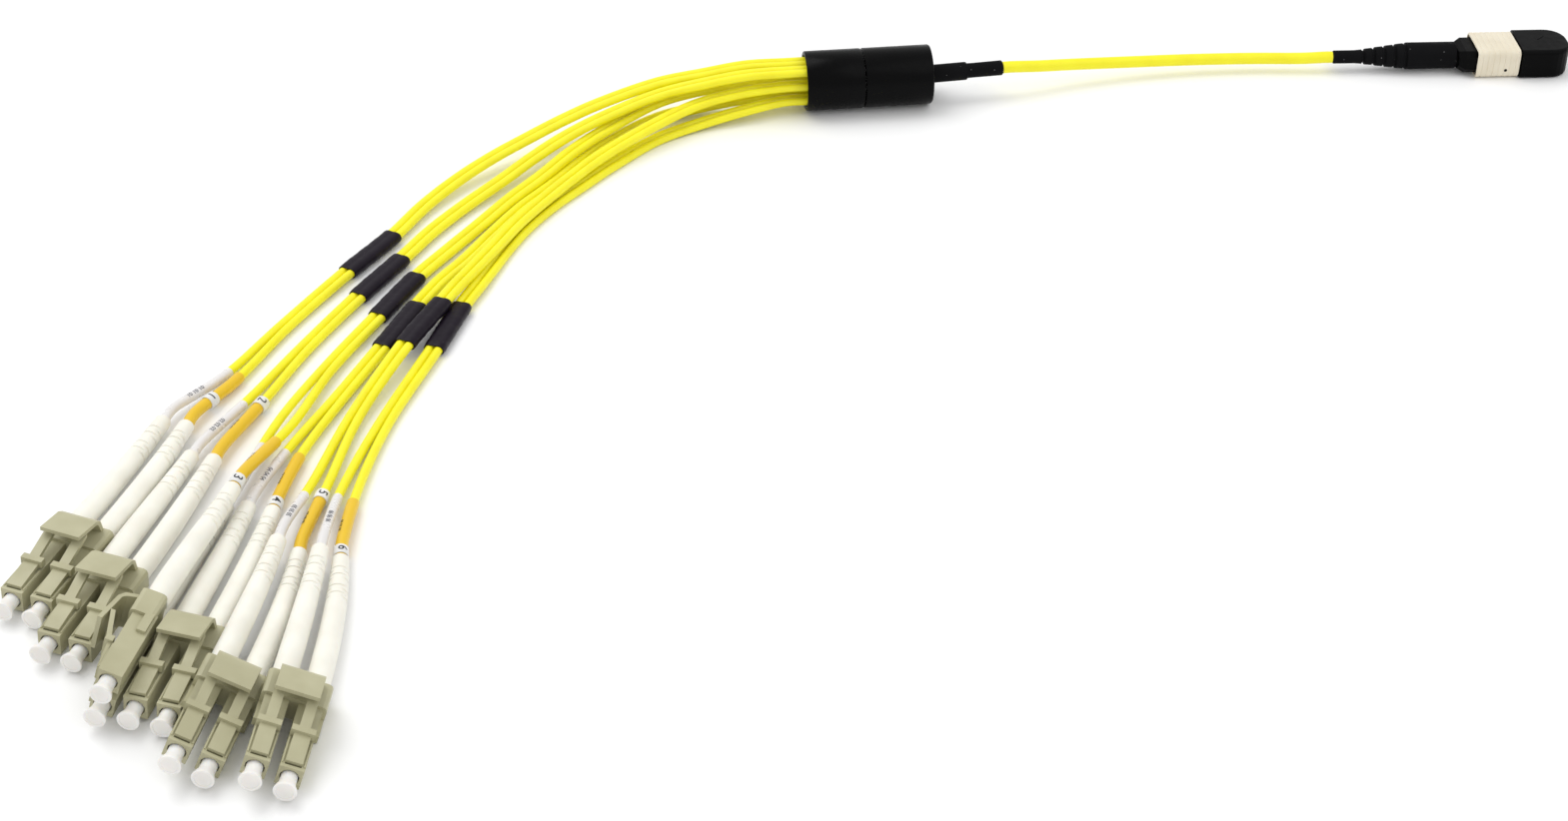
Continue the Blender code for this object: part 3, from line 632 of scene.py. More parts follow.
class Form:
    """A mesh under construction, in drawing millimetres."""

    def __init__(self, matrix: Matrix | None = None) -> None:
        """Start an empty form whose own points go through a matrix."""
        self.mesh = bmesh.new()
        self.matrix = matrix or Matrix.Identity(4)

    def vertex(self, point: Vector) -> bmesh.types.BMVert:
        """Add one point."""
        return self.mesh.verts.new(place(self.matrix @ point))

    def skin(self, rings: Sequence[Ring], closed: bool = False,
             paint: Callable[[int], int] = lambda span: 0) -> "Form":
        """Add a skin through rings.

        Args:
            rings: rings of equally many points.
            closed: joins the last ring to the first instead of filling both ends.
            paint: gives each span its material index.

        Returns:
            The form itself.
        """
        loops = [[self.vertex(point) for point in ring] for ring in rings]
        spans = list(zip(loops, loops[1:]))
        if closed:
            spans.append((loops[-1], loops[0]))
        else:
            for loop, span in ((list(reversed(loops[0])), 0), (loops[-1], len(loops) - 2)):
                self.mesh.faces.new(loop).material_index = paint(span)
        for span, (near, far) in enumerate(spans):
            for index in range(len(near)):
                after = (index + 1) % len(near)
                face = self.mesh.faces.new((near[index], near[after], far[after], far[index]))
                face.material_index = paint(span)
                face.smooth = True
        return self

    def finish(self, name: str, materials: Sequence[bpy.types.Material],
               body: str, slot: Slot | None = None, sharp: float = 38.0) -> bpy.types.Object:
        """Turn the form into a piece that rides on a body.

        Args:
            name: the piece's name.
            materials: its materials in the order of their indices.
            body: the body that it moves with.
            slot: not used.
            sharp: the angle in degrees above which an edge is shaded sharp.

        Returns:
            The new object.
        """
        bmesh.ops.recalc_face_normals(self.mesh, faces=self.mesh.faces)
        mesh = bpy.data.meshes.new(name)
        self.mesh.to_mesh(mesh)
        self.mesh.free()
        mesh.shade_smooth()
        mesh.set_sharp_from_angle(angle=math.radians(sharp))
        for material in materials:
            mesh.materials.append(material)
        piece = bpy.data.objects.new(name, mesh)
        bpy.context.scene.collection.objects.link(piece)
        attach(piece, body)
        return piece


def dress(node: str, material: bpy.types.Material, bevel: float = 0.0) -> None:
    """Give a node of the frame its finish, and soften its edges.

    Args:
        node: the node's name.
        material: its finish.
        bevel: the width of the softened edges in millimetres, or 0.
    """
    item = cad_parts[node]
    item.data.materials.clear()
    item.data.materials.append(material)
    if bevel:
        soften = item.modifiers.new("soft_edges", "BEVEL")
        soften.width = bevel * MM
        soften.segments = 2
        soften.limit_method = "ANGLE"
        soften.angle_limit = math.radians(32.0)
        soften.harden_normals = True


# Cables

@dataclass(frozen=True)
class Pose:
    """Where one duplex plug lies, and how its boots bend."""

    number: int
    nose: tuple[float, float]
    heading: float
    roll: float
    boot_turn: float
    boot_meet: float
    boot_ends: tuple[float, float]


@dataclass(frozen=True)
class Sleeves:
    """What a pair of legs carries behind its boots, measured from the boots' ends."""

    milky: float
    amber: float
    ring: float
    number: str


POSES = (
    Pose(1, (-172.2, -96.3), 72.8, 5.0, 5.0, 1.2, (2.4, 2.4)),
    Pose(2, (-162.2, -109.0), 75.4, 6.0, 2.7, 1.8, (2.4, 2.4)),
    Pose(3, (-148.2, -126.5), 79.5, -71.0, -1.0, 0.0, (2.2, 7.0)),
    Pose(4, (-142.4, -127.1), 79.9, 7.0, 4.2, 1.6, (2.4, 2.0)),
    Pose(5, (-132.9, -140.9), 81.2, 24.0, 7.0, 2.6, (4.6, 1.9)),
    Pose(6, (-118.4, -144.3), 86.8, 20.0, 6.0, 3.1, (4.7, 2.4)),
)

SLEEVES = {
    1: Sleeves(22.0, 20.5, 8.6, "1"),
    2: Sleeves(20.5, 22.6, 19.9, "2"),
    3: Sleeves(20.0, 20.5, 0.3, "3"),
    4: Sleeves(19.5, 18.5, 0.3, "4"),
    5: Sleeves(17.5, 19.4, 16.7, "5"),
    6: Sleeves(20.0, 18.8, 0.3, "6"),
}

# Where each pair leaves the breakout tube: sideways from its axis and up from it
TUBE_SLOTS = {1: (2.3, 4.0), 2: (-2.3, 4.0), 3: (2.3, 0.0), 4: (2.3, -4.0), 5: (-2.3, 0.0), 6: (-2.3, -4.0)}

# Middle line of each pair, from the breakout tube to the boots
PAIR_ROUTES = {
    1: (
        (-37.5, 106.4, 11.4), (-48.5, 103.6, 10.6), (-59.5, 101.1, 9.4), (-74.0, 93.5, 7.6),
        (-82.5, 87.8, 6.2), (-91.0, 80.8, 4.8), (-98.7, 73.8, 3.6), (-106.0, 65.2, 2.6),
        (-113.0, 54.2, 1.8), (-119.3, 40.1, 1.5), (-127.8, 24.1, 1.5), (-138.4, 2.3, 1.3),
        (-147.0, -18.7, 1.6),
    ),
    2: (
        (-37.5, 101.7, 11.2), (-48.4, 99.1, 10.2), (-59.3, 96.3, 8.6), (-73.5, 87.9, 6.4),
        (-82.0, 81.2, 4.8), (-89.0, 73.8, 3.4), (-95.7, 64.8, 2.4), (-103.6, 54.1, 1.6),
        (-110.3, 42.5, 1.5), (-115.8, 30.4, 1.5), (-123.7, 14.1, 1.5), (-132.7, -6.5, 1.3),
        (-139.8, -26.6, 1.6),
    ),
    3: (
        (-37.5, 105.2, 7.2), (-48.6, 103.0, 6.4), (-59.5, 98.9, 5.2), (-71.9, 87.1, 3.9),
        (-79.6, 77.7, 3.0), (-86.4, 66.9, 2.2), (-93.0, 57.4, 1.5), (-99.8, 45.1, 1.2),
        (-106.1, 33.2, 1.3), (-111.3, 22.8, 1.5), (-118.2, 6.1, 1.5), (-126.4, -15.4, 1.8),
        (-132.1, -36.5, 2.6),
    ),
    4: (
        (-37.5, 104.6, 3.2), (-48.6, 102.4, 2.0), (-59.6, 98.1, 1.1), (-71.2, 85.6, 1.0),
        (-77.0, 76.7, 1.0), (-84.0, 63.9, 1.0), (-90.2, 53.8, 1.0), (-96.0, 41.9, 1.0),
        (-101.2, 29.9, 1.2), (-105.9, 20.5, 1.5), (-109.0, 13.0, 1.5), (-115.1, -4.5, 1.5),
        (-122.9, -26.7, 1.3), (-128.9, -45.4, 1.6),
    ),
    5: (
        (-37.5, 100.5, 7.2), (-48.4, 96.6, 6.2), (-59.1, 88.1, 5.2), (-72.3, 73.7, 4.0),
        (-79.7, 62.9, 3.4), (-85.6, 52.9, 3.1), (-90.3, 43.7, 3.1), (-94.4, 33.7, 3.1),
        (-97.9, 24.8, 3.3), (-101.9, 14.7, 3.6), (-104.5, 7.4, 3.7), (-110.3, -8.1, 3.6),
        (-118.2, -33.2, 1.8), (-122.1, -56.8, 1.7),
    ),
    6: (
        (-37.5, 98.8, 3.0), (-48.4, 94.6, 1.6), (-59.2, 87.6, 1.0), (-69.8, 74.7, 1.0),
        (-76.3, 65.4, 1.0), (-83.3, 55.0, 1.0), (-88.4, 45.5, 1.0), (-92.1, 36.1, 1.0),
        (-94.9, 26.9, 1.2), (-97.4, 18.4, 1.5), (-99.8, 11.0, 1.5), (-104.4, -7.3, 1.5),
        (-111.9, -35.2, 1.3), (-115.8, -58.8, 1.7),
    ),
}

# How far along its pair's line each band starts
BAND_STARTS = {1: 126.0, 2: 128.0, 3: 132.0, 4: 141.0, 5: 134.0, 6: 130.0}

TRUNK_ROUTE = (
    (37.0, 115.7, 6.5), (45.2, 118.3, 5.6), (61.1, 122.0, 4.4), (76.8, 124.4, 3.8),
    (92.5, 125.5, 3.6), (106.5, 125.4, 3.7),
)


@dataclass(frozen=True)
class PlugSize:
    """Sizes of a duplex plug and its boots that other pieces line up with."""

    pitch: float = 6.25
    side: float = 4.5
    plug: float = 16.2
    clip: float = 6.3
    clip_width: float = 12.2
    clip_low: float = 0.2
    clip_corner: float = 0.9
    rail_low: float = 0.5
    gap: float = 0.3
    boot: float = 39.5
    boot_front: float = 4.7
    boot_tail: float = 3.4
    lead: float = 4.0


PLUG = PlugSize()


@dataclass(frozen=True)
class TubeSize:
    """Sizes and place of the breakout tube."""

    diameter: float = 15.0
    body: float = 14.5
    cap: float = 17.2
    edge: float = 0.5
    rim: float = 0.9
    recess: float = 1.2
    face: tuple[float, float] = (-22.8, 105.7)
    heading: float = 6.9
    gap: float = 0.3
    slot_lead: float = 5.0
    relief_heading: float = 10.5
    relief_front: tuple[float, float] = (4.6, 9.0)
    relief_tail: tuple[float, float] = (3.8, 9.2)

    @property
    def axis_start(self) -> Vector:
        """The middle of the tube's front face."""
        return Vector((*self.face, self.diameter / 2))

    @property
    def relief_start(self) -> Vector:
        """The middle of the strain relief's front face."""
        turn = math.radians(self.relief_heading - self.heading)
        clear = self.gap + self.relief_front[0] / 2 * math.sin(abs(turn))
        length = self.body + self.gap + self.cap + clear
        return self.axis_start + heading_vector(self.heading) * length


TUBE = TubeSize()


class BootLine:
    """The middle line of one bend boot, from its plug to its cable."""

    def __init__(self, at: Pose, side: Side) -> None:
        """Work out the line.

        Args:
            at: the duplex plug's pose.
            side: which of its plugs.
        """
        sine = math.sin(math.radians(at.roll))
        cosine = math.cos(math.radians(at.roll))
        centre = Vector((side.value * PLUG.pitch / 2, 0.0, PLUG.side / 2))
        across = centre.x * cosine + centre.z * sine
        rise = centre.z * cosine - centre.x * sine + self.lift(at)
        back = heading_vector(at.heading)
        spot = Vector((*at.nose, 0.0)) + right_of(back) * across + back * (PLUG.plug + PLUG.clip + PLUG.gap)
        fall = at.boot_ends[0 if side is Side.LEFT else 1] - rise
        turn = at.boot_turn + side.value * at.boot_meet
        stations = 7
        step = PLUG.boot / (stations - 1)
        self.points = []
        for index in range(stations):
            part = index / (stations - 1)
            self.points.append(Vector((spot.x, spot.y, rise + fall * part * part * (3 - 2 * part))))
            spot = spot + heading_vector(at.heading + turn * (part + 0.5 / stations)) * step
        self.leaving = heading_vector(at.heading + turn)

    @staticmethod
    def lift(at: Pose) -> float:
        """Return how far a rolled duplex plug rises to stand on its lowest edge.

        Args:
            at: the duplex plug's pose.

        Returns:
            The rise in millimetres.
        """
        sine = abs(math.sin(math.radians(at.roll)))
        cosine = math.cos(math.radians(at.roll))
        corner = PLUG.clip_corner
        clip = (PLUG.clip_width / 2 - corner) * sine - (PLUG.clip_low + corner) * cosine + corner
        rail = PLUG.clip_width / 2 * sine - PLUG.rail_low * cosine
        return max(clip, rail, (PLUG.pitch + PLUG.side) / 2 * sine)


@dataclass
class LegPair:
    """One pair of legs with its band, sleeves, number rings and boots."""

    at: Pose
    finishes: Finishes
    jacket: float = 1.94
    pitch: float = 2.06
    end_pitch: float = 3.3
    buffer: float = 0.9
    milky_size: float = 2.16
    amber_size: float = 2.56
    ring_size: float = 3.1
    ring_length: float = 2.6
    band_length: float = 18.2
    band_gap: float = 0.1
    band_wall: float = 0.3
    sides: int = 20
    slot_starts: tuple[float, float] = (4.4, 10.2)
    slots_each: int = 4
    slot_pitch: float = 1.15
    slot_depth: float = 0.24
    slot_reach: float = 66.0
    slot_ease: float = 30.0
    pieces: dict[str, bpy.types.Object] = field(default_factory=dict)
    paths: dict[Side, list[Vector]] = field(default_factory=dict)

    @property
    def name(self) -> str:
        """The duplex plug's name, which starts its pieces' names."""
        return f"duplex_{self.at.number}"

    def tube_points(self, side: int) -> list[Vector]:
        """Return where a leg leaves the breakout tube, and the end of its straight start.

        Args:
            side: -1 or 1 for the two legs of the pair.

        Returns:
            The two points.
        """
        across, up = TUBE_SLOTS[self.at.number]
        along = heading_vector(TUBE.heading)
        face = TUBE.axis_start + UP * up - right_of(along) * (across + side * self.pitch / 2)
        return [face + along * (TUBE.recess - TUBE.gap), face - along * TUBE.slot_lead]

    def middle(self) -> list[Vector]:
        """Return the pair's middle line."""
        start = [(first + second) / 2 for first, second in zip(self.tube_points(-1), self.tube_points(1))]
        return Route([*start, *PAIR_ROUTES[self.at.number]]).line(1.0)

    def leg_line(self, side: Side, spacing: float) -> list[Vector]:
        """Return one leg's line from the breakout tube to its boot.

        Args:
            side: which of the pair's legs.
            spacing: about how far apart its points are.

        Returns:
            The line's points.
        """
        middle = self.middle()
        points = self.tube_points(-side.value)
        route = PAIR_ROUTES[self.at.number]
        for spot in route:
            knot = Vector(spot)
            index = min(range(len(middle)), key=lambda at: (middle[at] - knot).length)
            along = middle[max(index - 1, 0)] - middle[min(index + 1, len(middle) - 1)]
            pitch = self.end_pitch if spot == route[-1] else self.pitch
            points.append(knot + right_of(along) * (side.value * pitch / 2))
        boot = BootLine(self.at, side)
        tail = boot.points[-1] + boot.leaving * PLUG.gap
        points.append(tail + boot.leaving * PLUG.lead)
        points.append(tail)
        return Route(points).line(spacing)

    def sleeve_length(self, side: Side) -> float:
        """Return the length of a leg's sleeve."""
        sleeves = SLEEVES[self.at.number]
        return sleeves.milky if side is Side.LEFT else sleeves.amber

    def build_leg(self, side: Side) -> None:
        """Build one leg: its jacket, and the bare buffer inside its sleeve.

        Args:
            side: which of the legs.
        """
        line = self.leg_line(side, 1.1)
        whole = lengths_along(line)
        bare = self.sleeve_length(side) - 1.2
        cut = whole[-1] - bare
        spots = [distance for distance in whole if distance < cut - 0.4]
        jacket_rings = len(spots) + 2
        spots = [*spots, cut - 0.12, cut, cut + 0.01]
        spots.extend(distance for distance in whole if distance > cut + 0.4)
        full, thin = self.jacket / 2, self.buffer / 2
        radii = [full] * (jacket_rings - 1) + [full - 0.08] + [thin] * (len(spots) - jacket_rings)
        centres = piece_of(line, spots)
        rings = swept(centres, [circle(radius, self.sides) for radius in radii])
        form = Form().skin(rings, paint=lambda span: 0 if span < jacket_rings else 1)
        name = f"{self.name}_{side.label}_leg"
        leg = form.finish(f"{name}_cable", (self.finishes.yellow, self.finishes.core), "root", Slot.YELLOW)
        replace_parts(leg, name)
        self.pieces[f"{side.label}_leg"] = leg
        self.paths[side] = [place(point) for point in centres]

    def build_sleeve(self, side: Side) -> None:
        """Build the clear or amber sleeve behind one boot, with its printed marks.

        Args:
            side: which of the legs.
        """
        left = side is Side.LEFT
        line = list(reversed(self.leg_line(side, 0.6)))
        length = self.sleeve_length(side)
        outer = (self.milky_size if left else self.amber_size) / 2
        inner = self.jacket / 2 + 0.02
        count = max(8, round(length / 0.8))
        spots = [length * step / count for step in range(count + 1)]
        centres = piece_of(line, spots)
        outside = [circle(outer * (1.0 + 0.006 * math.sin(0.9 * spot)), self.sides) for spot in spots]
        outside[-1] = circle(outer - 0.03, self.sides)
        inside = [circle(inner, self.sides)] * len(spots)
        rings = [*swept(centres, outside), *reversed(swept(centres, inside))]
        form = Form().skin(rings, closed=True)
        figures = f"0{self.at.number} 0{self.at.number} 0{self.at.number}"
        self._print(form, line, outer, length * 0.5, figures, 1.0 if left else 0.8, 0.2 if left else -0.75)
        tube = self.finishes.milky if left else self.finishes.amber
        kind = "clear" if left else "amber"
        ink = self.finishes.grey_ink if left else self.finishes.ink
        piece = form.finish(f"{self.name}_{side.label}_{kind}_sleeve", (tube, ink), "root")
        self.pieces[f"{side.label}_sleeve"] = piece

    def build_ring(self) -> None:
        """Build the white number ring of the right leg."""
        sleeves = SLEEVES[self.at.number]
        line = list(reversed(self.leg_line(Side.RIGHT, 0.6)))
        inner = self.amber_size / 2 + 0.05
        outer = self.ring_size / 2
        ends = (sleeves.ring, sleeves.ring + self.ring_length)
        spots = [ends[0], ends[0] + 0.15, ends[1] - 0.15, ends[1]]
        centres = piece_of(line, spots)
        radii = (outer - 0.1, outer, outer, outer - 0.1)
        outside = swept(centres, [circle(radius, 28) for radius in radii])
        inside = swept(centres, [circle(inner, 28)] * 4)
        form = Form().skin([*outside, *reversed(inside)], closed=True)
        self._print(form, line, outer, sum(ends) / 2, sleeves.number, 2.0, 0.3)
        piece = form.finish(f"{self.name}_number_ring", (self.finishes.ring, self.finishes.ink), "root",
                            Slot.WHITE)
        self.pieces["ring"] = piece

    def _print(self, form: Form, line: Sequence[Vector], radius: float, distance: float,
               text: str, size: float, lean: float) -> None:
        """Wrap a number round the top of a tube.

        Args:
            form: the form that takes the marks, with material index 1.
            line: the tube's middle line.
            radius: the tube's radius.
            distance: how far along the line the number's middle stands.
            text: the number.
            size: the height of its figures.
            lean: how far round the tube they stand from its top, in radians.
        """
        curve = bpy.data.curves.new("figures", "FONT")
        curve.body = text
        curve.size = size * 1.35
        curve.align_x = "CENTER"
        curve.align_y = "CENTER"
        curve.offset = 0.03
        maker = bpy.data.objects.new("figures", curve)
        bpy.context.scene.collection.objects.link(maker)
        flat = bpy.data.meshes.new_from_object(maker.evaluated_get(bpy.context.evaluated_depsgraph_get()))
        bpy.data.objects.remove(maker, do_unlink=True)
        bpy.data.curves.remove(curve)
        marks = bmesh.new()
        marks.from_mesh(flat)
        bmesh.ops.triangulate(marks, faces=marks.faces)
        for _ in range(2):
            long = [edge for edge in marks.edges if edge.calc_length() > 0.25]
            bmesh.ops.subdivide_edges(marks, edges=long, cuts=1)
        bmesh.ops.triangulate(marks, faces=marks.faces)
        reached = lengths_along(line)
        made = {}
        for vert in marks.verts:
            spot = distance - vert.co.x
            near = point_at(line, reached, spot - 0.3)
            far = point_at(line, reached, spot + 0.3)
            along = (far - near).normalized()
            across = right_of(along)
            angle = vert.co.y / radius + lean
            out = (across.cross(along) * math.cos(angle) + across * math.sin(angle)) * (radius + 0.035)
            made[vert.index] = form.vertex((near + far) / 2 + out)
        for face in marks.faces:
            form.mesh.faces.new([made[vert.index] for vert in face.verts]).material_index = 1
        marks.free()
        bpy.data.meshes.remove(flat)

    def build_boot(self, side: Side) -> None:
        """Build one bend boot with its two groups of bending slots.

        Args:
            side: which of the boots.
        """
        line = Route(BootLine(self.at, side).points).line(0.4)
        length = lengths_along(line)[-1]
        spots = {0.0, 0.25, 0.6, length - 0.25, length}
        spots.update(1.0 + step for step in range(int(length) - 1))
        slots = []
        for group in self.slot_starts:
            for index in range(self.slots_each):
                slots.append((length - group - self.slot_pitch * index, index % 2))
        for centre, _ in slots:
            spots.update(centre + shift for shift in (-0.24, -0.14, 0.14, 0.24))
        ordered = sorted(spots)
        sections = [self._boot_section(spot, length, slots) for spot in ordered]
        rings = swept(piece_of(line, ordered), sections)
        name = f"{self.name}_{side.label}_boot"
        boot = Form().skin(rings).finish(f"{name}_soft", (self.finishes.boot,), "root", Slot.WHITE, 50.0)
        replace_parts(boot, name)
        self.pieces[f"{side.label}_boot"] = boot

    def _boot_section(self, spot: float, length: float, slots: Sequence[tuple[float, int]]) -> Section:
        """Return the boot's outline at a distance from its plug.

        Args:
            spot: the distance.
            length: the boot's whole length.
            slots: the distance of each slot, and 1 where it is cut from the sides.

        Returns:
            The outline's points.
        """
        part = spot / length
        radius = (PLUG.boot_front + (PLUG.boot_tail - PLUG.boot_front) * part * part) / 2
        if spot < 0.2 or spot > length - 0.2:
            radius -= 0.14
        cuts = [half for centre, half in slots if abs(spot - centre) < 0.2]
        section = []
        for index, (across, up) in enumerate(circle(1.0, 32)):
            angle = math.degrees(math.atan2(up, across)) % 360.0
            depth = 0.0
            for half in cuts:
                away = abs((angle - (180.0 if half else 0.0)) % 180.0 - 90.0)
                away = 90.0 - away if half else away
                share = min(1.0, max(0.0, (self.slot_reach - away) / self.slot_ease))
                depth = max(depth, self.slot_depth * share)
            section.append((across * (radius - depth), up * (radius - depth)))
        return section

    def build_band(self) -> None:
        """Build the shrunk tube around the pair, waisted between the two legs."""
        line = self.middle()
        start = float(round(BAND_STARTS[self.at.number]))
        count = 26
        spots = [start + self.band_length * step / count for step in range(count + 1)]
        centres = piece_of(line, spots)
        half = self.pitch / 2
        bore = self.jacket / 2 + self.band_gap
        outside = []
        for step, spot in enumerate(spots):
            swell = 0.03 * math.sin(1.3 * spot + self.at.number) + 0.02 * math.sin(3.1 * spot)
            wall = self.band_wall - (0.1 if step in (0, count) else 0.0)
            outside.append(self._oval(half, bore + wall + swell, 0.22))
        inside = [self._oval(half, bore, 0.1)] * len(spots)
        rings = [*swept(centres, outside), *reversed(swept(centres, inside))]
        name = f"{self.name}_band"
        band = Form().skin(rings, closed=True).finish(f"{name}_shrink", (self.finishes.band,), "root",
                                                      Slot.BLACK)
        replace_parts(band, name)
        self.pieces["band"] = band

    @staticmethod
    def _oval(half: float, radius: float, waist: float) -> Section:
        """Return a flat oval whose long sides dip in the middle.

        Args:
            half: half the distance between its two ends' middles.
            radius: the radius of its ends.
            waist: how deep its long sides dip.

        Returns:
            The oval's points.
        """
        points = []
        for across, up in circle(radius, 32):
            side = across + math.copysign(half * min(1.0, abs(across) / radius * 1.6), across)
            dip = waist * max(0.0, 1.0 - abs(side) / half) ** 1.5
            points.append((side, up - math.copysign(dip, up)))
        return points

    def build(self) -> None:
        """Build the pair's pieces."""
        for side in Side:
            self.build_leg(side)
            self.build_sleeve(side)
            self.build_boot(side)
        self.build_ring()
        self.build_band()
        log.info("%s: legs, sleeves, boots, number ring and band", self.name)


# Duplex plugs

@dataclass
class DuplexPlug:
    """One duplex plug body with its two dust caps."""

    at: Pose
    finishes: Finishes
    stem: float = 3.0
    rim: float = 4.3
    stem_out: float = 2.0
    rim_out: float = 3.8
    sides: int = 40

    @property
    def name(self) -> str:
        """The duplex plug's name."""
        return f"duplex_{self.at.number}"

    def frame(self) -> Matrix:
        """Return the plug's matrix."""
        return pose(Vector((*self.at.nose, BootLine.lift(self.at))), self.at.heading, self.at.roll)

    def build_cap(self, side: Side) -> None:
        """Build one dust cap: a stem in the plug's nose and a flared, dished rim.

        Args:
            side: which of the plugs.
        """
        seat = Matrix.Translation((side.value * PLUG.pitch / 2, 0.0, PLUG.side / 2))
        stations = (
            (-1.9, 1.85), (3.7, 1.85), (3.7, self.stem - 0.1), (3.6, self.stem), (-1.2, self.stem),
            (-self.stem_out + 0.3, self.stem + 0.06), (-self.stem_out - 0.2, self.stem + 0.3),
            (-self.stem_out - 0.7, self.stem + 0.75), (-self.rim_out + 0.4, self.rim - 0.1),
            (-self.rim_out + 0.12, self.rim), (-self.rim_out, self.rim - 0.16),
            (-self.rim_out, self.rim - 1.0), (-self.rim_out + 0.1, self.rim - 1.2),
            (-self.rim_out + 0.12, 0.5),
        )
        node = f"{self.name}_{side.label}_dust_cap"
        form = Form(self.frame() @ seat).skin(turned(stations, self.sides))
        piece = form.finish(f"{node}_flared", (self.finishes.cap,), node, Slot.WHITE)
        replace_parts(piece, node)

    def build_edges(self, side: Side) -> None:
        """Build one plug's raised side edges and a dark strip of painted shadow where the slot in front of
        its latch slab lies in shade.

        Args:
            side: which of the plugs.
        """
        seat = Matrix.Translation((side.value * PLUG.pitch / 2, 0.0, PLUG.side))
        form = Form(self.frame() @ seat)
        for edge in (-1, 1):
            outer = edge * (PLUG.side / 2 - 0.12)
            inner = edge * (PLUG.side / 2 - 0.42)
            middle = (outer + inner) / 2
            section = [(outer, -0.1), (outer, 0.2), (middle, 0.27), (inner, 0.2), (inner, -0.1)]
            form.skin(straight([(0.9, section), (7.2, section)]))
        form.finish(f"{self.name}_{side.label}_edges", (self.finishes.olive,), "root", Slot.OLIVE)
        # Painted shadow: a thin dark sheet lies where the slot in front of the latch slab falls into shade.
        slit_painted_shadow = [(-1.5, -0.05), (1.5, -0.05), (1.5, 0.03), (-1.5, 0.03)]
        form = Form(self.frame() @ seat).skin(straight([(0.72, slit_painted_shadow), (1.04, slit_painted_shadow)]))
        form.finish(f"{self.name}_{side.label}_slit", (self.finishes.shade,), "root", Slot.OLIVE)

    def build(self) -> None:
        """Dress the plug body and build its dust caps and raised edges."""
        dress(f"{self.name}_body", self.finishes.olive, bevel=0.1)
        for side in Side:
            self.build_cap(side)
            self.build_edges(side)
        log.info("%s: plug body and dust caps", self.name)


# Breakout tube and trunk

@dataclass
class BreakoutTube:
    """The breakout tube, its screwed cap and the stepped strain relief."""

    finishes: Finishes
    sides: int = 96

    def build(self) -> None:
        """Build the three pieces."""
        matrix = pose(TUBE.axis_start, TUBE.heading)
        full, rim = TUBE.diameter, TUBE.diameter - 2 * TUBE.rim
        body_end = TUBE.body
        body = (
            (TUBE.recess + 0.2, 1.0), (TUBE.recess + 0.2, rim - 3.0), (TUBE.recess, rim - 1.0),
            (TUBE.recess, rim), (0.15, rim), (0.0, rim + 0.25), (0.0, full - TUBE.edge),
            (0.08, full - 0.2), (TUBE.edge / 2, full), (body_end - 0.5, full),
            (body_end - 0.4, full - 0.12), (body_end, full - 0.3), (body_end, 2.0),
        )
        form = Form(matrix).skin(turned(body, self.sides), paint=lambda span: 1 if span < 3 else 0)
        materials = (self.finishes.tube, self.finishes.seal)
        piece = form.finish("breakout_body_shell", materials, "root", Slot.BLACK)
        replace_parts(piece, "breakout_body")
        start, end = body_end + TUBE.gap, body_end + TUBE.gap + TUBE.cap
        cap = (
            (start, 2.0), (start, full - 0.3), (start + 0.12, full), (end - TUBE.edge, full),
            (end - 0.22, full - 0.25), (end - 0.06, full - 0.6), (end, full - 1.1),
            (end, full - 5.0), (end - 0.25, full - 5.2), (end - 0.25, 1.0),
        )
        piece = Form(matrix).skin(turned(cap, self.sides)).finish(
            "breakout_cap_shell", (self.finishes.tube,), "root", Slot.BLACK)
        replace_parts(piece, "breakout_cap")
        front, length = TUBE.relief_front
        tail, more = TUBE.relief_tail
        relief = (
            (0.0, front - 0.2), (0.1, front), (length - 0.35, front), (length - 0.1, front - 0.15),
            (length, tail + 0.3), (length + 0.15, tail), (length + 2.0, tail - 0.06),
            (length + more - 2.0, tail), (length + more - 0.12, tail + 0.02),
            (length + more, tail - 0.15),
        )
        piece = Form(pose(TUBE.relief_start, TUBE.relief_heading)).skin(turned(relief, 40)).finish(
            "strain_relief_shell", (self.finishes.rubber,), "root", Slot.BLACK)
        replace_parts(piece, "strain_relief")
        log.info("breakout tube, cap and strain relief")


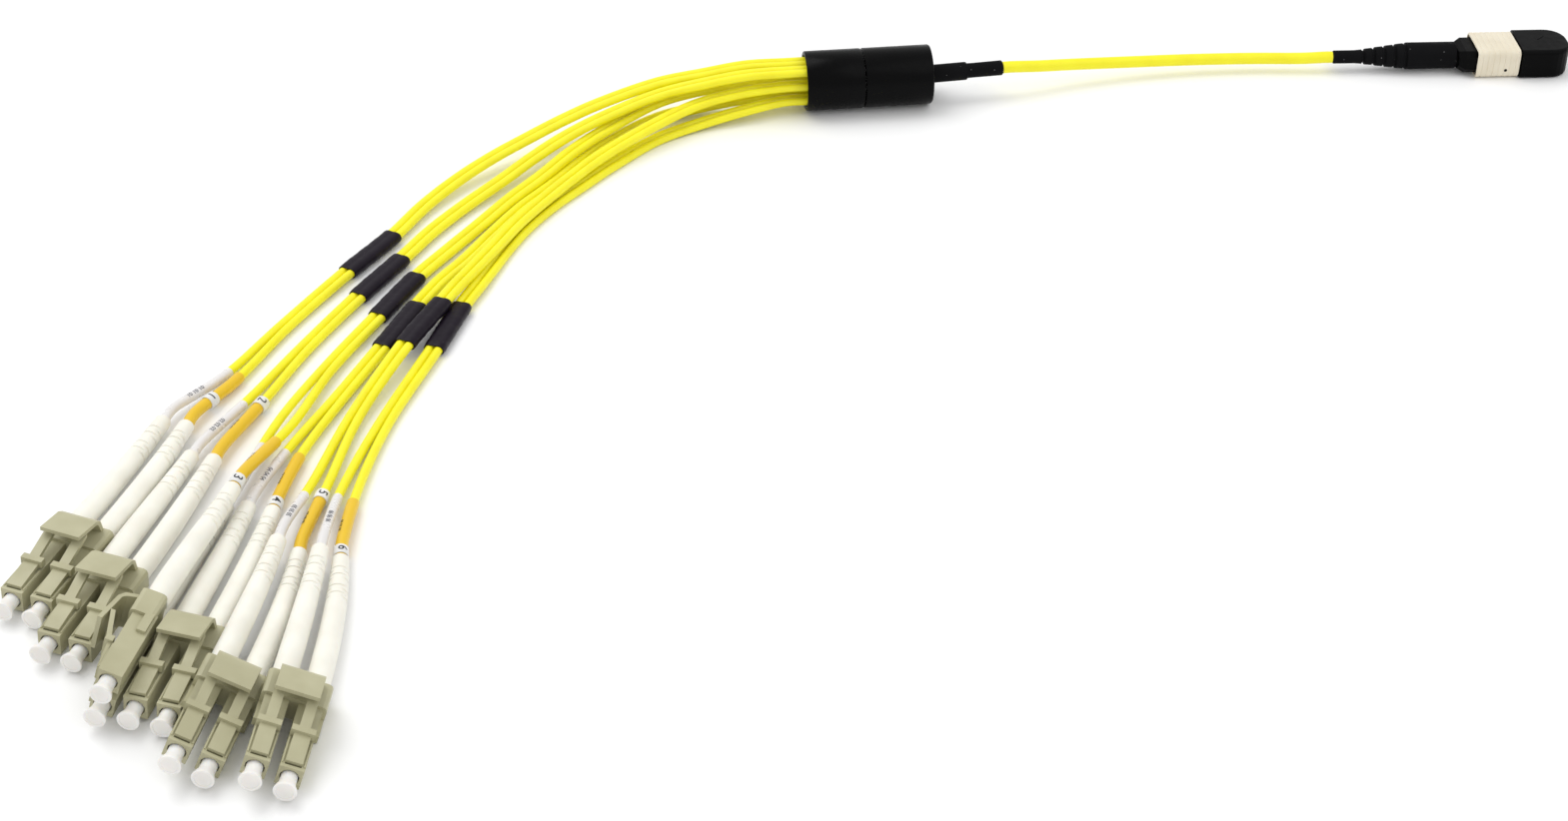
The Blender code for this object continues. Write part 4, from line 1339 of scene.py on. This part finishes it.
@dataclass
class TwelveFibrePlug:
    """The 12-fibre plug with its coupling sleeve, boot and dust cap."""

    finishes: Finishes
    face: tuple[float, float] = (161.5, 127.5)
    heading: float = 2.2
    cap: tuple[float, float, float] = (13.2, 7.8, 13.0)
    sleeve: tuple[float, float, float] = (12.4, 7.6, 11.1)
    sleeve_corner: float = 1.4
    sleeve_wall: float = 0.5
    ribs: int = 6
    collar: float = 4.3
    barrel: tuple[float, float] = (6.9, 12.6)
    taper: float = 13.4
    taper_steps: int = 5
    tail: tuple[float, float] = (3.4, 5.6)
    gap: float = 0.3
    boot: bpy.types.Object | None = None

    def frame(self) -> Matrix:
        """Return the plug's matrix, with its back axis towards the cable."""
        return pose(Vector((*self.face, self.cap[1] / 2)), self.heading + 180.0)

    @property
    def boot_start(self) -> float:
        """How far the boot's front stands behind the sleeve's front."""
        return self.sleeve[2] + self.collar + self.gap

    @property
    def length(self) -> float:
        """How far the boot's end stands behind the sleeve's front."""
        return self.boot_start + self.barrel[1] + self.taper + self.tail[1]

    def axis_point(self, back: float) -> Vector:
        """Return the point on the axis at a distance behind the sleeve's front."""
        return self.frame() @ Vector((0.0, back, 0.0))

    def build_sleeve(self) -> None:
        """Build the coupling sleeve with its grip ribs and the keying dot on its side."""
        width, height, length = self.sleeve
        full = rounded_box(width, height, self.sleeve_corner)
        low = rounded_box(width - 0.2, height - 0.2, self.sleeve_corner - 0.1)
        edge = rounded_box(width - 0.36, height - 0.36, self.sleeve_corner - 0.1)
        wall = 2 * self.sleeve_wall
        inner = rounded_box(width - wall, height - wall, self.sleeve_corner - self.sleeve_wall)
        stations = [(0.0, inner), (0.0, edge), (0.18, full)]
        pitch = (length - 2.4) / self.ribs
        for rib in range(self.ribs + 1):
            middle = 1.2 + rib * pitch
            stations.extend([(middle - 0.2, full), (middle - 0.08, low)])
            stations.extend([(middle + 0.08, low), (middle + 0.2, full)])
        stations.extend([(length - 0.18, full), (length, edge), (length, inner)])
        form = Form(self.frame()).skin(straight(stations), closed=True)
        dot = [Vector((-width / 2 - 0.02, 3.6 + back, rise - 1.5)) for back, rise in circle(0.4, 16)]
        form.mesh.faces.new([form.vertex(point) for point in dot]).material_index = 1
        node = "mpo_coupling_sleeve"
        materials = (self.finishes.cream, self.finishes.seal)
        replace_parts(form.finish(f"{node}_ribbed", materials, node, Slot.CREAM), node)

    def build_boot(self) -> None:
        """Build the boot: a smooth barrel, a stepped taper with bending slots, and a tail."""
        start, (wide, barrel), (narrow, tail) = self.boot_start, self.barrel, self.tail
        stations = [(start, wide - 0.5), (start + 0.15, wide - 0.1)]
        stations.extend([(start + 0.35, wide), (start + barrel, wide)])
        step = self.taper / self.taper_steps
        fall = (wide - narrow) / self.taper_steps
        for index in range(self.taper_steps):
            before = wide - fall * index
            after = before - fall
            low = start + barrel + step * index
            stations.extend([
                (low + step * 0.08, before - fall * 0.1), (low + step * 0.14, after - 0.3),
                (low + step * 0.32, after - 0.3), (low + step * 0.38, before - fall * 0.55),
                (low + step * 0.95, after + 0.05),
            ])
        end = start + barrel + self.taper + tail
        stations.extend([(end - tail + 0.2, narrow), (end - 0.1, narrow), (end, narrow - 0.2)])
        self.boot = Form(self.frame()).skin(turned(stations, 56)).finish(
            "mpo_boot_stepped", (self.finishes.rubber,), "root", Slot.BLACK, 30.0)
        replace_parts(self.boot, "mpo_boot")

    def build_cap(self) -> None:
        """Dress the dust cap and add the raised arrow line on its top."""
        dress("mpo_dust_cap", self.finishes.black_cap, bevel=0.15)
        top = self.cap[1] / 2
        form = Form(self.frame() @ Matrix.Translation((1.2, -6.6, top)) @ Matrix.Rotation(0.75, 4, "Z"))
        low = [(-0.16, -0.2), (0.16, -0.2), (0.16, 0.05), (0.1, 0.09), (-0.1, 0.09), (-0.16, 0.05)]
        form.skin(straight([(-1.3, low), (1.3, low)]))
        form.finish("mpo_dust_cap_line", (self.finishes.seal,), "mpo_dust_cap", Slot.BLACK)

    def build(self) -> None:
        """Build and dress the plug's pieces."""
        dress("mpo_housing", self.finishes.black_cap, bevel=0.1)
        dress("mpo_ferrule", self.finishes.seal, bevel=0.05)
        self.build_sleeve()
        self.build_boot()
        self.build_cap()
        log.info("12-fibre plug")


@dataclass
class Trunk:
    """The trunk cable between the strain relief and the 12-fibre plug."""

    plug: TwelveFibrePlug
    finishes: Finishes
    diameter: float = 3.0
    lead: float = 2.0

    def build(self) -> None:
        along = heading_vector(TUBE.relief_heading)
        start = TUBE.relief_start + along * (TUBE.relief_front[1] + TUBE.relief_tail[1] + TUBE.gap)
        end = self.plug.axis_point(self.plug.length + TUBE.gap)
        end_lead = self.plug.axis_point(self.plug.length + TUBE.gap + self.lead)
        line = Route([start, start + along * self.lead, *TRUNK_ROUTE, end_lead, end]).line(1.2)
        rings = swept(line, [circle(self.diameter / 2, 28)] * len(line))
        cable = Form().skin(rings).finish(
            "trunk_cable_jacket", (self.finishes.yellow,), "root", Slot.YELLOW)
        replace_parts(cable, "trunk_cable")
        log.info("trunk cable")


# Studio

@dataclass
class Studio:
    """The pale floor, the soft lights and the camera."""

    finishes: Finishes
    eye: tuple[float, float, float] = (-28.0, -485.0, 320.1)
    tilt: float = 54.97
    lens: float = 60.4
    room: float = 0.8
    reach: float = 3.0

    def floor(self) -> None:
        """Lay the pale sheet."""
        mesh = bpy.data.meshes.new("sheet")
        corners = ((-1, -1), (1, -1), (1, 1), (-1, 1))
        mesh.from_pydata([(self.reach * x, self.reach * y, 0) for x, y in corners], [], [(0, 1, 2, 3)])
        mesh.materials.append(self.finishes.paper)
        sheet = bpy.data.objects.new("sheet", mesh)
        bpy.context.scene.collection.objects.link(sheet)

    def lamp(self, name: str, at: Sequence[float], size: float, power: float) -> None:
        """Hang one soft square light that faces the jumper.

        Args:
            name: the light's name.
            at: its place in metres.
            size: the length of its side in metres.
            power: its power in watts.
        """
        light = bpy.data.lights.new(name, "AREA")
        light.energy = power
        light.shape = "SQUARE"
        light.size = size
        lamp = bpy.data.objects.new(name, light)
        lamp.location = at
        lamp.rotation_euler = (-Vector(at)).to_track_quat("-Z", "Y").to_euler()
        bpy.context.scene.collection.objects.link(lamp)

    def camera(self) -> None:
        """Set the camera where the photograph's stood."""
        data = bpy.data.cameras.new("camera")
        data.sensor_fit = "HORIZONTAL"
        data.sensor_width = 36.0
        data.lens = self.lens
        data.clip_start = 0.01
        camera = bpy.data.objects.new("camera", data)
        camera.location = place(Vector(self.eye))
        camera.rotation_euler = (math.radians(self.tilt), 0.0, 0.0)
        bpy.context.scene.collection.objects.link(camera)
        bpy.context.scene.camera = camera

    def build(self) -> None:
        """Build the studio."""
        world = bpy.data.worlds.new("soft_room")
        world.use_nodes = True
        background = world.node_tree.nodes["Background"]
        background.inputs["Color"].default_value = (1.0, 1.0, 1.0, 1.0)
        background.inputs["Strength"].default_value = self.room
        bpy.context.scene.world = world
        bpy.context.scene.view_settings.view_transform = "Standard"
        self.floor()
        self.lamp("key_light", (-0.45, 0.35, 0.9), 0.7, 4.5)
        self.lamp("fill_light", (0.7, -0.3, 0.9), 0.9, 1.8)
        self.camera()
        log.info("studio")


def main() -> None:
    """Build the whole jumper and its studio."""
    logging.basicConfig(level=logging.INFO, format="%(message)s")
    finishes = Finishes()
    Studio(finishes).build()
    for at in POSES:
        LegPair(at, finishes).build()
        DuplexPlug(at, finishes).build()
    BreakoutTube(finishes).build()
    plug = TwelveFibrePlug(finishes)
    plug.build()
    Trunk(plug, finishes).build()


if __name__ == "__main__":
    main()
